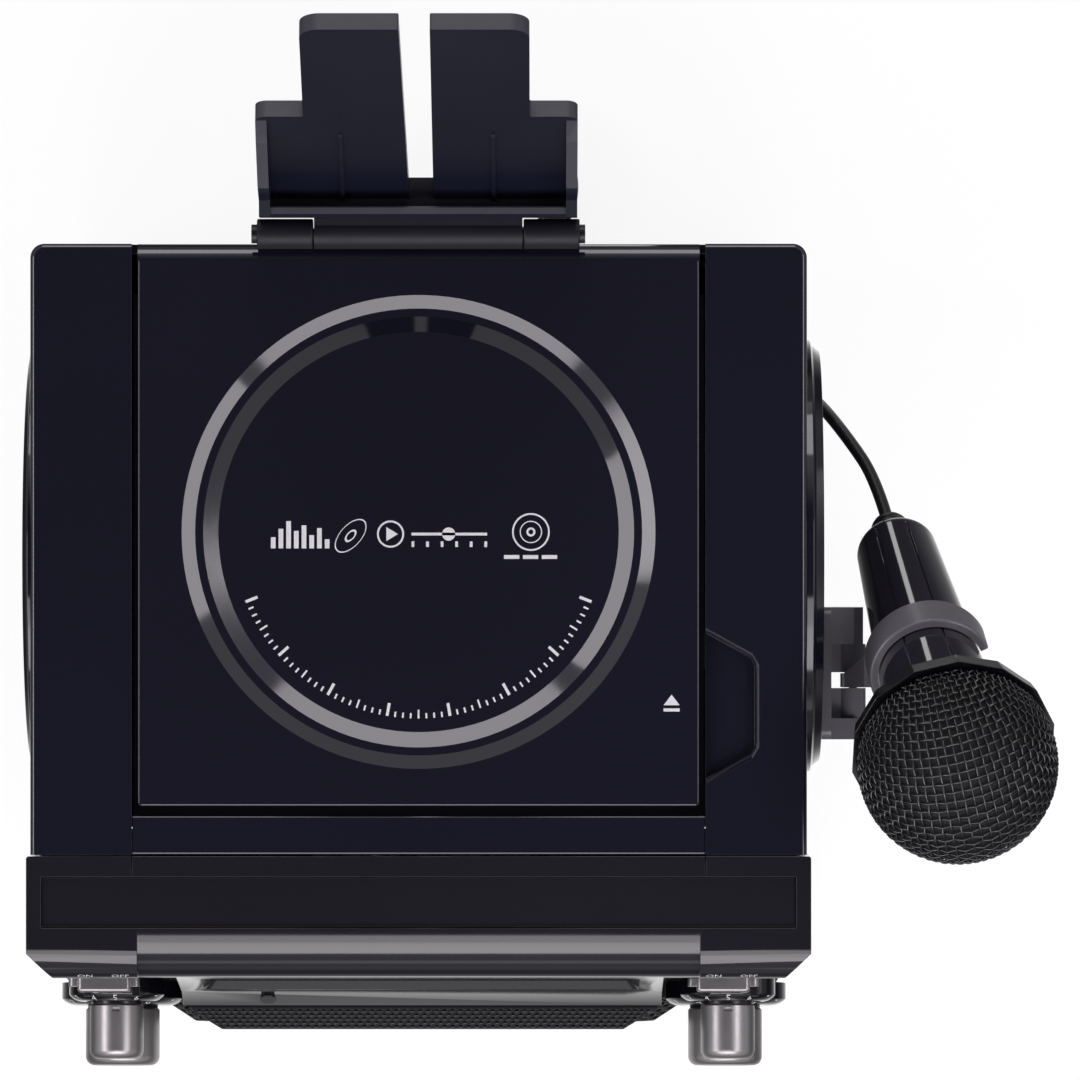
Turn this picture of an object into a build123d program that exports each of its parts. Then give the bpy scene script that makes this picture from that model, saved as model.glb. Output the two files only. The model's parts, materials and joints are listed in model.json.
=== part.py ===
from build123d import *
import math
import os

os.makedirs("parts", exist_ok=True)

# Karaoke machine. Origin on the surface that it stands on, under the middle of the cabinet.
# +X is its right side, +Y its rear, +Z up. Millimetres.

# Cabinet
CABINET_W = 222.0
REAR_Y = 105.3
SPLIT_Y = -69.4
TOP_Z = 300.0
FOOT_H = 6.0
WALL = 2.7
REAR_EDGE_R = 4.0
TOP_EDGE_R = 1.6
FIT = 0.3
SEAT = 0.0

# Disc lid, its barrel hinge and the deck under it
LID_W = 160.6
LID_FRONT_Y = -55.5
LID_PLATE_T = 2.5
LID_SKIRT_H = 7.0
LID_SKIRT_T = 1.8
LID_SIDE_GAP = 1.7
LID_FRONT_GAP = 2.7
BARREL_R = 5.0
BARREL_BORE_R = 3.5
LID_PIN_R = 1.0
RUN = 0.06
DISC_Y = 22.9
GROOVE_OUT_R = 67.7
GROOVE_FLOOR_OUT_R = 63.9
GROOVE_FLOOR_IN_R = 61.6
GROOVE_IN_R = 57.2
GROOVE_DEPTH = 1.8
DECK_Z = TOP_Z - 9.0
DECK_T = 2.5
WELL_R = 63.0
WELL_DEPTH = 7.0
TURNTABLE_HOLE_R = 18.0

# Finger recess beside the lid
RECESS_REAR_Y = -4.6
RECESS_LEN = 44.5
RECESS_OUT = 15.3
RECESS_DEPTH = 4.4
RECESS_BEVEL = 1.2

# Front bezel, top insert and centre fascia
BEZEL_W = CABINET_W + 2.4
FRONT_Y = -105.0
FACE_TOP_Z = 256.0
FACE_LOW_Z = 130.0
FACE_TILT = 4.06
INSERT_REAR_Y = -75.7
INSERT_FRONT_Y = -90.3
INSERT_W = BEZEL_W - 8.6
INSERT_SINK = 1.2
INSERT_T = 2.0
CENTRE_EDGE_R = 14.6
SIDE_EDGE_R = 9.5
CORNER_CUT_X = 7.6
CORNER_CUT_Y = 7.5
FASCIA_STEP = 9.7
DIAL_MARGIN = 1.3
FASCIA_NECK_Z = 143.0
FASCIA_SHOULDER_H = 9.0
CHIN_Y = -114.6
FASCIA_TOP_Z = 268.0
FASCIA_BOTTOM_Z = 22.0
STRIP_TOP_Y = -112.0
STRIP_TOP_Z = 216.5
STRIP_LOW_Y = -116.6
STRIP_LOW_Z = 204.0
DISPLAY_MARGIN = 10.5
DISPLAY_H = 30.0
DISPLAY_Z = 243.0
DISPLAY_DEPTH = 3.2
DISPLAY_BEVEL = 3.6

# Speaker
GRILLE_EDGE = 1.2
GRILLE_TOP_Z = 201.0
GRILLE_LOW_Z = 62.0
SPEAKER_Z = 128.0
GRILLE_FRONT_Y = -124.4
GRILLE_SIDE_D = 1.2
GRILLE_SLOPE = 10.0
GRILLE_T = 1.4
SPEAKER_R = 62.0
CONE_R = 50.0

# Boards and front controls
BOARD_T = 1.6
COLUMN_X = CABINET_W / 2 - 21.0
SWITCH_Z = 247.0
SWITCH_CAP_W = 15.5
SWITCH_CAP_H = 6.0
SWITCH_CAP_PROUD = 5.2
SWITCH_TRAVEL = 4.0
SMALL_KNOB_Z = 205.0
SMALL_KNOB_R = 7.95
SMALL_KNOB_LEN = 16.0
SMALL_DIAL_R = 14.0
LARGE_KNOB_Z = 160.0
LARGE_KNOB_R = 11.0
LARGE_KNOB_LEN = 17.0
LARGE_DIAL_R = 18.2
DIAL_DOME = 6.8
KNOB_GAP = 0.8
POT_SHAFT_R = 3.0
BUTTON_COUNT = 5
BUTTON_R = 5.5
BUTTON_Z = 44.0

# Round side caps
CAP_R = 63.0
CAP_Y = 16.0
CAP_Z = TOP_Z - 65.0
CAP_PROUD = 5.1


def finish(piece, name):
    """Labels one finished piece and writes its file."""
    piece.label = name
    export_step(piece, f"parts/{name}.step")


CABINET_X = CABINET_W / 2
LID_X = LID_W / 2
SLOT_X = LID_X + LID_SIDE_GAP
FASCIA_NECK_W = 2 * (COLUMN_X - LARGE_DIAL_R - DIAL_MARGIN)
FASCIA_W = FASCIA_NECK_W + 2 * FASCIA_STEP
FASCIA_X = FASCIA_W / 2
DISPLAY_W = FASCIA_NECK_W - 2 * DISPLAY_MARGIN
RIGHT = Plane.YZ
PIN_Y = REAR_Y - BARREL_R
PIN_Z = TOP_Z - BARREL_R
FACE_SLOPE = math.tan(math.radians(FACE_TILT))
COLUMN_LOW_Y = FRONT_Y - (FACE_TOP_Z - FACE_LOW_Z) * FACE_SLOPE


def column_face(across, height):
    """The plane on a column's slanted front at a place, facing out."""
    return Plane(
        origin=(across, FRONT_Y - (FACE_TOP_Z - height) * FACE_SLOPE, height),
        x_dir=(1, 0, 0),
        z_dir=(0, -1, FACE_SLOPE),
    )


def fascia_outline(grow, low, high, half_width, half_neck):
    """The front outline of the fascia and the grille: wide below, a narrower neck between the dials."""
    with BuildSketch(mode=Mode.PRIVATE) as outline:
        with BuildLine():
            Polyline(
                (-half_width - grow, low - grow),
                (half_width + grow, low - grow),
                (half_width + grow, FASCIA_NECK_Z - FASCIA_SHOULDER_H),
                (half_neck + grow, FASCIA_NECK_Z),
                (half_neck + grow, high + grow),
                (-half_neck - grow, high + grow),
                (-half_neck - grow, FASCIA_NECK_Z),
                (-half_width - grow, FASCIA_NECK_Z - FASCIA_SHOULDER_H),
                close=True,
            )
        make_face()
    return outline.sketch

# ---- Cabinet: a shell that is open to the front, with a slot across its top for the lid
NOTCH_Z = PIN_Z - BARREL_R - 0.5
PANEL_W = 168.0
PANEL_LOW_Z = 40.0
PANEL_HIGH_Z = TOP_Z - 64.0
with BuildPart() as cabinet_shell:
    with BuildSketch(Plane.XY.offset(FOOT_H)):
        with Locations((0, (SPLIT_Y + REAR_Y) / 2)):
            Rectangle(CABINET_W, REAR_Y - SPLIT_Y)
    extrude(amount=TOP_Z - FOOT_H)
    rear_corners = cabinet_shell.edges().filter_by(Axis.Z).group_by(Axis.Y)[-1]
    fillet(rear_corners, REAR_EDGE_R)
    top_rim = cabinet_shell.faces().sort_by(Axis.Z)[-1].edges()
    fillet(top_rim.filter_by(lambda e: e.center().Y > SPLIT_Y + 1), TOP_EDGE_R)
    offset(amount=-WALL, openings=cabinet_shell.faces().sort_by(Axis.Y)[0])
    with BuildSketch(Plane.XY.offset(TOP_Z)):
        with Locations((SLOT_X + RECESS_OUT / 2 + WALL / 2, RECESS_REAR_Y - RECESS_LEN / 2)):
            Rectangle(RECESS_OUT + WALL, RECESS_LEN + 2 * WALL)
    extrude(amount=-RECESS_DEPTH - WALL)
    with BuildSketch(Plane.XY.offset(NOTCH_Z)):
        with Locations((0, (SPLIT_Y + REAR_Y) / 2)):
            Rectangle(2 * SLOT_X, REAR_Y - SPLIT_Y + 2)
    extrude(amount=TOP_Z - NOTCH_Z + 1, mode=Mode.SUBTRACT)
    with BuildSketch(Plane.XZ.offset(-REAR_Y)):
        with Locations((0, (PANEL_LOW_Z + PANEL_HIGH_Z) / 2)):
            RectangleRounded(PANEL_W, PANEL_HIGH_Z - PANEL_LOW_Z, 3)
    extrude(amount=WALL + 1, mode=Mode.SUBTRACT)
    # Finger recess with a bevelled edge, open towards the lid
    with BuildSketch(Plane.XY.offset(TOP_Z)) as recess_mouth:
        with BuildLine():
            Polyline(
                (SLOT_X - 1, RECESS_REAR_Y),
                (SLOT_X, RECESS_REAR_Y),
                (SLOT_X + RECESS_OUT - 1.8, RECESS_REAR_Y - 7.4),
                (SLOT_X + RECESS_OUT, RECESS_REAR_Y - 10.5),
                (SLOT_X + RECESS_OUT, RECESS_REAR_Y - RECESS_LEN + 10.5),
                (SLOT_X + RECESS_OUT - 1.8, RECESS_REAR_Y - RECESS_LEN + 7.4),
                (SLOT_X, RECESS_REAR_Y - RECESS_LEN),
                (SLOT_X - 1, RECESS_REAR_Y - RECESS_LEN),
                close=True,
            )
        make_face()
    with BuildSketch(Plane.XY.offset(TOP_Z - RECESS_BEVEL)) as recess_throat:
        add(recess_mouth.sketch_local)
        offset(amount=-RECESS_BEVEL, mode=Mode.REPLACE)
    loft(mode=Mode.SUBTRACT)
    extrude(recess_throat.sketch, amount=-RECESS_DEPTH + RECESS_BEVEL, mode=Mode.SUBTRACT)
    # Ventilation slots low in both side walls
    with BuildSketch(Plane.YZ.offset(-CABINET_X - 1)):
        with Locations((0, 60)):
            with GridLocations(9, 0, 11, 1):
                SlotOverall(34, 3, rotation=90)
    extrude(amount=CABINET_W + 2, mode=Mode.SUBTRACT)
finish(cabinet_shell.part, "cabinet_shell")

# ---- Feet: four near the corners and one under the transformer in the middle
FOOT_R = 9.0
FOOT_X = CABINET_X - 23.0
FOOT_Y = 80.0
with BuildPart() as rubber_feet:
    with BuildSketch():
        with Locations((0, 0), (FOOT_X, FOOT_Y), (-FOOT_X, FOOT_Y), (FOOT_X, -FOOT_Y + 22), (-FOOT_X, -FOOT_Y + 22)):
            Circle(FOOT_R)
    extrude(amount=FOOT_H)
    chamfer(rubber_feet.edges().group_by(Axis.Z)[0], 0.8)
finish(rubber_feet.part, "rubber_feet")

# ---- Top deck: front strip, plate under the lid, disc well and hinge ears
DECK_X = SLOT_X - FIT
DECK_REAR_Y = REAR_Y - 14.3
WELL_WALL = 2.2
STRIP_REAR_Y = LID_FRONT_Y - LID_FRONT_GAP
EAR_X = 52.0
EAR_T = 5.0
EAR_R = LID_PLATE_T - FIT
PILLAR_X = 72.0
PILLAR_FRONT_Y = -44.0
PILLAR_REAR_Y = 82.0
CHASSIS_Z = DECK_Z - 20.5
LENS_R = 3.6
LENS_REST_Y = DISC_Y - 24.5
SLED_TRAVEL = 30.0
SLED_SLOT_W = 14.0
SLED_SLOT_FRONT_Y = LENS_REST_Y - SLED_TRAVEL - LENS_R - 1.5
with BuildPart() as top_deck:
    with BuildSketch(Plane.XY.offset(DECK_Z - DECK_T)):
        with Locations((0, (SPLIT_Y + DECK_REAR_Y) / 2)):
            Rectangle(2 * DECK_X, DECK_REAR_Y - SPLIT_Y)
    extrude(amount=DECK_T)
    with BuildSketch(Plane.XY.offset(DECK_Z - DECK_T)):
        with Locations((0, (SPLIT_Y + STRIP_REAR_Y) / 2)):
            Rectangle(2 * DECK_X, STRIP_REAR_Y - SPLIT_Y)
    extrude(amount=TOP_Z - DECK_Z + DECK_T)
    fillet(top_deck.edges().filter_by(Axis.X).group_by(Axis.Z)[-1], 0.8)
    with BuildSketch(Plane.XY.offset(DECK_Z - DECK_T)):
        with Locations((0, (SPLIT_Y + STRIP_REAR_Y) / 2)):
            Rectangle(2 * DECK_X - 2 * DECK_T, STRIP_REAR_Y - SPLIT_Y - 2 * DECK_T)
    extrude(amount=TOP_Z - DECK_Z, mode=Mode.SUBTRACT)
    with BuildSketch(Plane.XY.offset(DECK_Z - WELL_DEPTH - WELL_WALL)):
        with Locations((0, DISC_Y)):
            Circle(WELL_R + WELL_WALL)
    extrude(amount=WELL_DEPTH + WELL_WALL)
    with BuildSketch(Plane.XY.offset(DECK_Z)):
        with Locations((0, DISC_Y)):
            Circle(WELL_R)
    extrude(amount=-WELL_DEPTH, mode=Mode.SUBTRACT)
    with BuildSketch(Plane.XY.offset(DECK_Z)):
        with Locations((0, DISC_Y)):
            Circle(TURNTABLE_HOLE_R)
        with Locations((0, (DISC_Y + SLED_SLOT_FRONT_Y) / 2)):
            Rectangle(SLED_SLOT_W, DISC_Y - SLED_SLOT_FRONT_Y)
    extrude(amount=-WELL_DEPTH - WELL_WALL - 1, mode=Mode.SUBTRACT)
    with BuildSketch(Plane.XY.offset(CHASSIS_Z)):
        with Locations((0, (PILLAR_FRONT_Y + PILLAR_REAR_Y) / 2)):
            with GridLocations(2 * PILLAR_X, PILLAR_REAR_Y - PILLAR_FRONT_Y, 2, 2):
                Circle(3.5)
    extrude(amount=DECK_Z - DECK_T - CHASSIS_Z)
    for side in (-EAR_X, EAR_X):
        with BuildSketch(Plane.YZ.offset(side - EAR_T / 2)):
            with BuildLine():
                Polyline(
                    (DECK_REAR_Y - 8, DECK_Z - DECK_T),
                    (DECK_REAR_Y - 8, DECK_Z),
                    (PIN_Y - 2.6, PIN_Z + 1.4),
                    (PIN_Y, PIN_Z),
                    (PIN_Y - 0.6, PIN_Z - EAR_R + 0.1),
                    (DECK_REAR_Y, DECK_Z - DECK_T),
                    close=True,
                )
            make_face()
            with Locations((PIN_Y, PIN_Z)):
                Circle(EAR_R)
                Circle(LID_PIN_R, mode=Mode.SUBTRACT)
        extrude(amount=EAR_T)
finish(top_deck.part, "top_deck")

# ---- Disc lid: thin plate and skirt, circular groove, and a barrel along its rear edge
RIB_T = 4.0
RIB_X = 76.0
CATCH_X = 62.0
CATCH_W = 10.0
CATCH_T = 2.4
with BuildPart() as disc_lid:
    with BuildSketch(Plane.XY.offset(TOP_Z)):
        with Locations((0, (LID_FRONT_Y + PIN_Y) / 2)):
            Rectangle(LID_W, PIN_Y - LID_FRONT_Y)
    extrude(amount=-LID_SKIRT_H)
    fillet(disc_lid.edges().filter_by(Axis.Z).group_by(Axis.Y)[0], 1.2)
    fillet(disc_lid.edges().group_by(Axis.Z)[-1].filter_by(lambda e: e.center().Y < PIN_Y - 1), 0.7)
    with BuildSketch(Plane.XY.offset(TOP_Z - LID_PLATE_T)):
        with Locations((0, (LID_FRONT_Y + PIN_Y) / 2 + LID_SKIRT_T)):
            Rectangle(LID_W - 2 * LID_SKIRT_T, PIN_Y - LID_FRONT_Y)
    extrude(amount=-LID_SKIRT_H, mode=Mode.SUBTRACT)
    # Backing ring for the groove, then the groove itself
    with BuildSketch(Plane.XY.offset(TOP_Z - LID_PLATE_T)):
        with Locations((0, DISC_Y)):
            Circle(GROOVE_OUT_R + 1.5)
            Circle(GROOVE_IN_R - 1.5, mode=Mode.SUBTRACT)
    extrude(amount=-GROOVE_DEPTH)
    with BuildSketch(Plane.XZ.offset(-DISC_Y)):
        with BuildLine():
            Polyline(
                (GROOVE_IN_R, TOP_Z),
                (GROOVE_FLOOR_IN_R, TOP_Z - GROOVE_DEPTH),
                (GROOVE_FLOOR_OUT_R, TOP_Z - GROOVE_DEPTH),
                (GROOVE_OUT_R, TOP_Z),
                (GROOVE_OUT_R, TOP_Z + 1),
                (GROOVE_IN_R, TOP_Z + 1),
                close=True,
            )
        make_face()
    revolve(axis=Axis((0, DISC_Y, 0), (0, 0, 1)), mode=Mode.SUBTRACT)
    # Barrel: a rounded skin over its full width, and ribs that hold the pin
    with BuildSketch(Plane.YZ.offset(-LID_X)):
        with BuildLine():
            CenterArc((PIN_Y, PIN_Z), BARREL_R, -50, 140)
            Line((PIN_Y, TOP_Z), (PIN_Y, PIN_Z + BARREL_BORE_R))
            CenterArc((PIN_Y, PIN_Z), BARREL_BORE_R, -50, 140)
            Line(
                (PIN_Y + BARREL_BORE_R * math.cos(math.radians(50)), PIN_Z - BARREL_BORE_R * math.sin(math.radians(50))),
                (PIN_Y + BARREL_R * math.cos(math.radians(50)), PIN_Z - BARREL_R * math.sin(math.radians(50))),
            )
        make_face()
    extrude(amount=LID_W)
    for rib in (-RIB_X - RIB_T / 2, -EAR_X + EAR_T / 2 + FIT, EAR_X - EAR_T / 2 - FIT - RIB_T, RIB_X - RIB_T / 2):
        with BuildSketch(Plane.YZ.offset(rib)):
            with Locations((PIN_Y, PIN_Z)):
                Circle(BARREL_R - 0.4)
            with Locations((PIN_Y - 3, PIN_Z + 1.5)):
                Rectangle(6, 2.6)
            with Locations((PIN_Y, PIN_Z)):
                Circle(LID_PIN_R + RUN, mode=Mode.SUBTRACT)
        extrude(amount=RIB_T)
    # Catch hook moulded behind the front skirt
    with BuildSketch(Plane.XY.offset(TOP_Z - LID_PLATE_T)):
        with Locations((CATCH_X, LID_FRONT_Y + LID_SKIRT_T + CATCH_T / 2)):
            Rectangle(CATCH_W, CATCH_T)
    extrude(amount=-(TOP_Z - LID_PLATE_T - DECK_Z - FIT))
finish(disc_lid.part, "disc_lid")

# ---- Clamp puck under the lid
TABLE_Z = DECK_Z - 4.0
DISC_T = 1.2
PUCK_R = 15.0
CONE_HOLE_R = 9.6
with BuildPart() as clamp_puck:
    with BuildSketch(Plane.XY.offset(TABLE_Z + DISC_T + FIT)):
        with Locations((0, DISC_Y)):
            Circle(PUCK_R)
            Circle(CONE_HOLE_R, mode=Mode.SUBTRACT)
    extrude(amount=TOP_Z - LID_PLATE_T - TABLE_Z - DISC_T - FIT)
    fillet(clamp_puck.edges().group_by(Axis.Z)[0], 0.6)
finish(clamp_puck.part, "clamp_puck")

# ---- Disc drive: chassis, spindle motor, turntable, sled on two rods, pinion and its motor
CHASSIS_T = 2.5
CHASSIS_FRONT_Y = -52.0
CHASSIS_REAR_Y = 88.0
ROD_R = 1.5
ROD_X = 17.0
ROD_Z = CHASSIS_Z + 5.0
LUG_T = 3.0
SLED_Z = CHASSIS_Z + 1.1
SLED_TOP_Z = SLED_Z + 8.8
SLED_LEN = 13.0
ROD_FRONT_Y = LENS_REST_Y - SLED_LEN - SLED_TRAVEL - LUG_T - 1.0
ROD_REAR_Y = LENS_REST_Y + 10.6
SLED_X = 21.0
PINION_R = 9.0
PINION_X = SLED_X + PINION_R + FIT
PINION_Y = LENS_REST_Y - 14.0
SHAFT_R = 1.0
with BuildPart() as drive_chassis:
    with BuildSketch(Plane.XY.offset(CHASSIS_Z)):
        with Locations((0, (CHASSIS_FRONT_Y + CHASSIS_REAR_Y) / 2)):
            RectangleRounded(2 * PILLAR_X + 12, CHASSIS_REAR_Y - CHASSIS_FRONT_Y, 5)
        with Locations((0, DISC_Y)):
            Circle(SHAFT_R + RUN, mode=Mode.SUBTRACT)
        with Locations((PINION_X, PINION_Y)):
            Circle(SHAFT_R + RUN, mode=Mode.SUBTRACT)
        with Locations((0, DISC_Y + 34)):
            SlotOverall(70, 12, mode=Mode.SUBTRACT)
    extrude(amount=-CHASSIS_T)
    with BuildSketch(Plane.XY.offset(CHASSIS_Z)):
        with GridLocations(2 * ROD_X, 0, 2, 1):
            with Locations((0, ROD_FRONT_Y + LUG_T / 2), (0, ROD_REAR_Y + LUG_T / 2 - LUG_T)):
                Rectangle(8, LUG_T)
    extrude(amount=ROD_Z + 3.5 - CHASSIS_Z)
    with BuildSketch(Plane.XZ.offset(-ROD_REAR_Y)):
        with GridLocations(2 * ROD_X, 0, 2, 1):
            with Locations((0, ROD_Z)):
                Circle(ROD_R)
    extrude(amount=ROD_REAR_Y - ROD_FRONT_Y, mode=Mode.SUBTRACT)
finish(drive_chassis.part, "drive_chassis")

with BuildPart() as guide_rods:
    with BuildSketch(Plane.XZ.offset(-ROD_REAR_Y)):
        with GridLocations(2 * ROD_X, 0, 2, 1):
            with Locations((0, ROD_Z)):
                Circle(ROD_R)
    extrude(amount=ROD_REAR_Y - ROD_FRONT_Y)
finish(guide_rods.part, "guide_rods")

with BuildPart() as pickup_sled:
    with BuildSketch(Plane.XZ.offset(-LENS_REST_Y - SLED_LEN / 2)):
        with Locations((0, (SLED_Z + SLED_TOP_Z) / 2)):
            Rectangle(2 * SLED_X, SLED_TOP_Z - SLED_Z)
        with GridLocations(2 * ROD_X, 0, 2, 1):
            with Locations((0, ROD_Z)):
                Circle(ROD_R + RUN, mode=Mode.SUBTRACT)
    extrude(amount=SLED_LEN)
    chamfer(pickup_sled.edges().filter_by(Axis.Y).group_by(Axis.Z)[-1], 1.0)
    # The rack reaches forwards along the pinion
    with BuildSketch(Plane.XY.offset(SLED_Z)):
        with Locations((SLED_X - 1.2, LENS_REST_Y - SLED_LEN / 2)):
            Rectangle(2.4, SLED_LEN)
    extrude(amount=2.6)
finish(pickup_sled.part, "pickup_sled")

with BuildPart() as pickup_lens:
    with BuildSketch(Plane.XY.offset(SLED_TOP_Z)):
        with Locations((0, LENS_REST_Y)):
            Circle(LENS_R)
    extrude(amount=2.6)
    fillet(pickup_lens.edges().group_by(Axis.Z)[-1], 1.1)
finish(pickup_lens.part, "pickup_lens")

with BuildPart() as turntable:
    with BuildSketch(Plane.XZ.offset(-DISC_Y)):
        with BuildLine():
            Polyline(
                (0, CHASSIS_Z - CHASSIS_T - 6),
                (SHAFT_R, CHASSIS_Z - CHASSIS_T - 6),
                (SHAFT_R, TABLE_Z - 5),
                (4, TABLE_Z - 5),
                (4, TABLE_Z - 2.2),
                (PUCK_R, TABLE_Z - 2.2),
                (PUCK_R, TABLE_Z),
                (7.4, TABLE_Z),
                (7.4, TABLE_Z + 1.6),
                (5.2, TABLE_Z + 3.4),
                (0, TABLE_Z + 3.4),
                close=True,
            )
        make_face()
    revolve(axis=Axis((0, DISC_Y, 0), (0, 0, 1)))
    with BuildSketch(Plane.XY.offset(TABLE_Z + 3.4)):
        with Locations((0, DISC_Y)):
            with PolarLocations(6.6, 3):
                SlotOverall(4, 1.4)
    extrude(amount=-2.4, mode=Mode.SUBTRACT)
finish(turntable.part, "turntable")

TOOTH_N = 18
with BuildPart() as sled_pinion:
    with BuildSketch(Plane.XY.offset(SLED_Z)):
        with Locations((PINION_X, PINION_Y)):
            Circle(PINION_R)
            with PolarLocations(PINION_R, TOOTH_N):
                RegularPolygon(0.9, 3, mode=Mode.SUBTRACT)
    extrude(amount=2.6)
    with BuildSketch(Plane.XY.offset(SLED_Z)):
        with Locations((PINION_X, PINION_Y)):
            Circle(SHAFT_R)
    extrude(amount=-(SLED_Z - CHASSIS_Z) - CHASSIS_T - 4)
finish(sled_pinion.part, "sled_pinion")

# Both motors hang under the chassis
SPINDLE_MOTOR_R = 12.0
SPINDLE_MOTOR_T = 11.0
SLED_MOTOR_T = 13.0
with BuildPart() as drive_motors:
    with BuildSketch(Plane.XY.offset(CHASSIS_Z - CHASSIS_T)):
        with Locations((0, DISC_Y)):
            Circle(SPINDLE_MOTOR_R)
            Circle(SHAFT_R + RUN, mode=Mode.SUBTRACT)
    extrude(amount=-SPINDLE_MOTOR_T)
    fillet(drive_motors.faces().sort_by(Axis.Z)[0].outer_wire().edges(), 1.5)
    with BuildSketch(Plane.XY.offset(CHASSIS_Z - CHASSIS_T)):
        with Locations((PINION_X, PINION_Y)):
            RectangleRounded(16, 13, 4)
            Circle(SHAFT_R + RUN, mode=Mode.SUBTRACT)
    extrude(amount=-SLED_MOTOR_T)
finish(drive_motors.part, "drive_motors")

# ---- Front bezel: two side columns and a centre bridge, hollow behind, with a window for the fascia
BEZEL_X = BEZEL_W / 2
BEZEL_GAP = 0.4
BEZEL_REAR_Y = SPLIT_Y - BEZEL_GAP
BEZEL_WALL = 4.6
SWITCH_SLOT_W = SWITCH_CAP_W + SWITCH_TRAVEL + 0.6
STEM_W = 7.0
STEM_H = 2.6
with BuildPart() as front_bezel:
    with BuildSketch(Plane.YZ.offset(-BEZEL_X)):
        with BuildLine():
            Polyline(
                (BEZEL_REAR_Y, FOOT_H),
                (BEZEL_REAR_Y, TOP_Z),
                (FRONT_Y, TOP_Z),
                (FRONT_Y, FACE_TOP_Z),
                (COLUMN_LOW_Y, FACE_LOW_Z),
                (COLUMN_LOW_Y, FOOT_H),
                close=True,
            )
        make_face()
    extrude(amount=BEZEL_W)
    top_front = front_bezel.edges().filter_by(Axis.X).group_by(Axis.Z)[-1].sort_by(Axis.Y)[0]
    fillet(top_front, SIDE_EDGE_R)
    low_front = front_bezel.edges().filter_by(Axis.X).group_by(Axis.Z)[0].sort_by(Axis.Y)[0]
    fillet(low_front, 6)
    # Corners cut back in plan
    for side in (-1, 1):
        with BuildSketch():
            with BuildLine():
                Polyline(
                    (side * (BEZEL_X + 1), FRONT_Y + CORNER_CUT_Y + 0.8),
                    (side * (BEZEL_X + 1), COLUMN_LOW_Y - 2),
                    (side * (BEZEL_X - CORNER_CUT_X + 1), COLUMN_LOW_Y - 2),
                    (side * (BEZEL_X - CORNER_CUT_X), FRONT_Y - 0.2),
                    close=True,
                )
            make_face()
        extrude(amount=TOP_Z + 1, mode=Mode.SUBTRACT)
    fillet(front_bezel.edges().filter_by(Axis.Z).group_by(Axis.Y)[-1], 0.8)
    # The centre bridge has a rounder front edge than the columns
    with BuildSketch(Plane.YZ.offset(-FASCIA_X - FIT)):
        with BuildLine():
            Line((FRONT_Y - 1, TOP_Z + 1), (FRONT_Y - 1, TOP_Z - CENTRE_EDGE_R))
            Line((FRONT_Y - 1, TOP_Z - CENTRE_EDGE_R), (FRONT_Y, TOP_Z - CENTRE_EDGE_R))
            CenterArc((FRONT_Y + CENTRE_EDGE_R, TOP_Z - CENTRE_EDGE_R), CENTRE_EDGE_R, 180, -90)
            Line((FRONT_Y + CENTRE_EDGE_R, TOP_Z), (FRONT_Y + CENTRE_EDGE_R, TOP_Z + 1))
            Line((FRONT_Y + CENTRE_EDGE_R, TOP_Z + 1), (FRONT_Y - 1, TOP_Z + 1))
        make_face()
    extrude(amount=FASCIA_W + 2 * FIT, mode=Mode.SUBTRACT)
    # Hollow behind
    with BuildSketch(Plane.YZ.offset(-BEZEL_X + BEZEL_WALL - 1)):
        with BuildLine():
            Polyline(
                (BEZEL_REAR_Y + 1, FOOT_H + WALL),
                (BEZEL_REAR_Y + 1, TOP_Z - INSERT_SINK - INSERT_T - WALL),
                (INSERT_FRONT_Y, TOP_Z - INSERT_SINK - INSERT_T - WALL),
                (FRONT_Y + BEZEL_WALL, TOP_Z - CENTRE_EDGE_R),
                (FRONT_Y + BEZEL_WALL, FACE_TOP_Z),
                (COLUMN_LOW_Y + BEZEL_WALL, FACE_LOW_Z),
                (COLUMN_LOW_Y + BEZEL_WALL, FOOT_H + WALL),
                close=True,
            )
        make_face()
    extrude(amount=BEZEL_W - 2 * BEZEL_WALL + 2, mode=Mode.SUBTRACT)
    # Window for the fascia
    with BuildSketch(Plane.XZ.offset(-FRONT_Y - BEZEL_WALL - 8)):
        add(fascia_outline(FIT, FASCIA_BOTTOM_Z, FASCIA_TOP_Z, FASCIA_X, FASCIA_NECK_W / 2))
    extrude(amount=30, mode=Mode.SUBTRACT)
    # Seat for the insert on top, and a fine groove each side of the lid's line
    with BuildSketch(Plane.XY.offset(TOP_Z)):
        with Locations((0, (INSERT_REAR_Y + INSERT_FRONT_Y) / 2)):
            Rectangle(INSERT_W, INSERT_REAR_Y - INSERT_FRONT_Y)
    extrude(amount=-INSERT_SINK - INSERT_T, mode=Mode.SUBTRACT)
    with BuildSketch(Plane.XY.offset(TOP_Z)):
        with GridLocations(2 * SLOT_X, 0, 2, 1):
            with Locations((0, (BEZEL_REAR_Y + INSERT_REAR_Y) / 2)):
                Rectangle(0.4, BEZEL_REAR_Y - INSERT_REAR_Y + 1)
    extrude(amount=-0.8, mode=Mode.SUBTRACT)
    # Openings in each column: switch slot and two shaft holes
    for side in (-COLUMN_X, COLUMN_X):
        with BuildSketch(column_face(side, SWITCH_Z)):
            Rectangle(STEM_W + SWITCH_TRAVEL + 1, STEM_H + 0.8)
        extrude(amount=10, both=True, mode=Mode.SUBTRACT)
        for height in (SMALL_KNOB_Z, LARGE_KNOB_Z):
            with BuildSketch(column_face(side, height)):
                Circle(POT_SHAFT_R + 1.2)
            extrude(amount=10, both=True, mode=Mode.SUBTRACT)
finish(front_bezel.part, "front_bezel")

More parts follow.
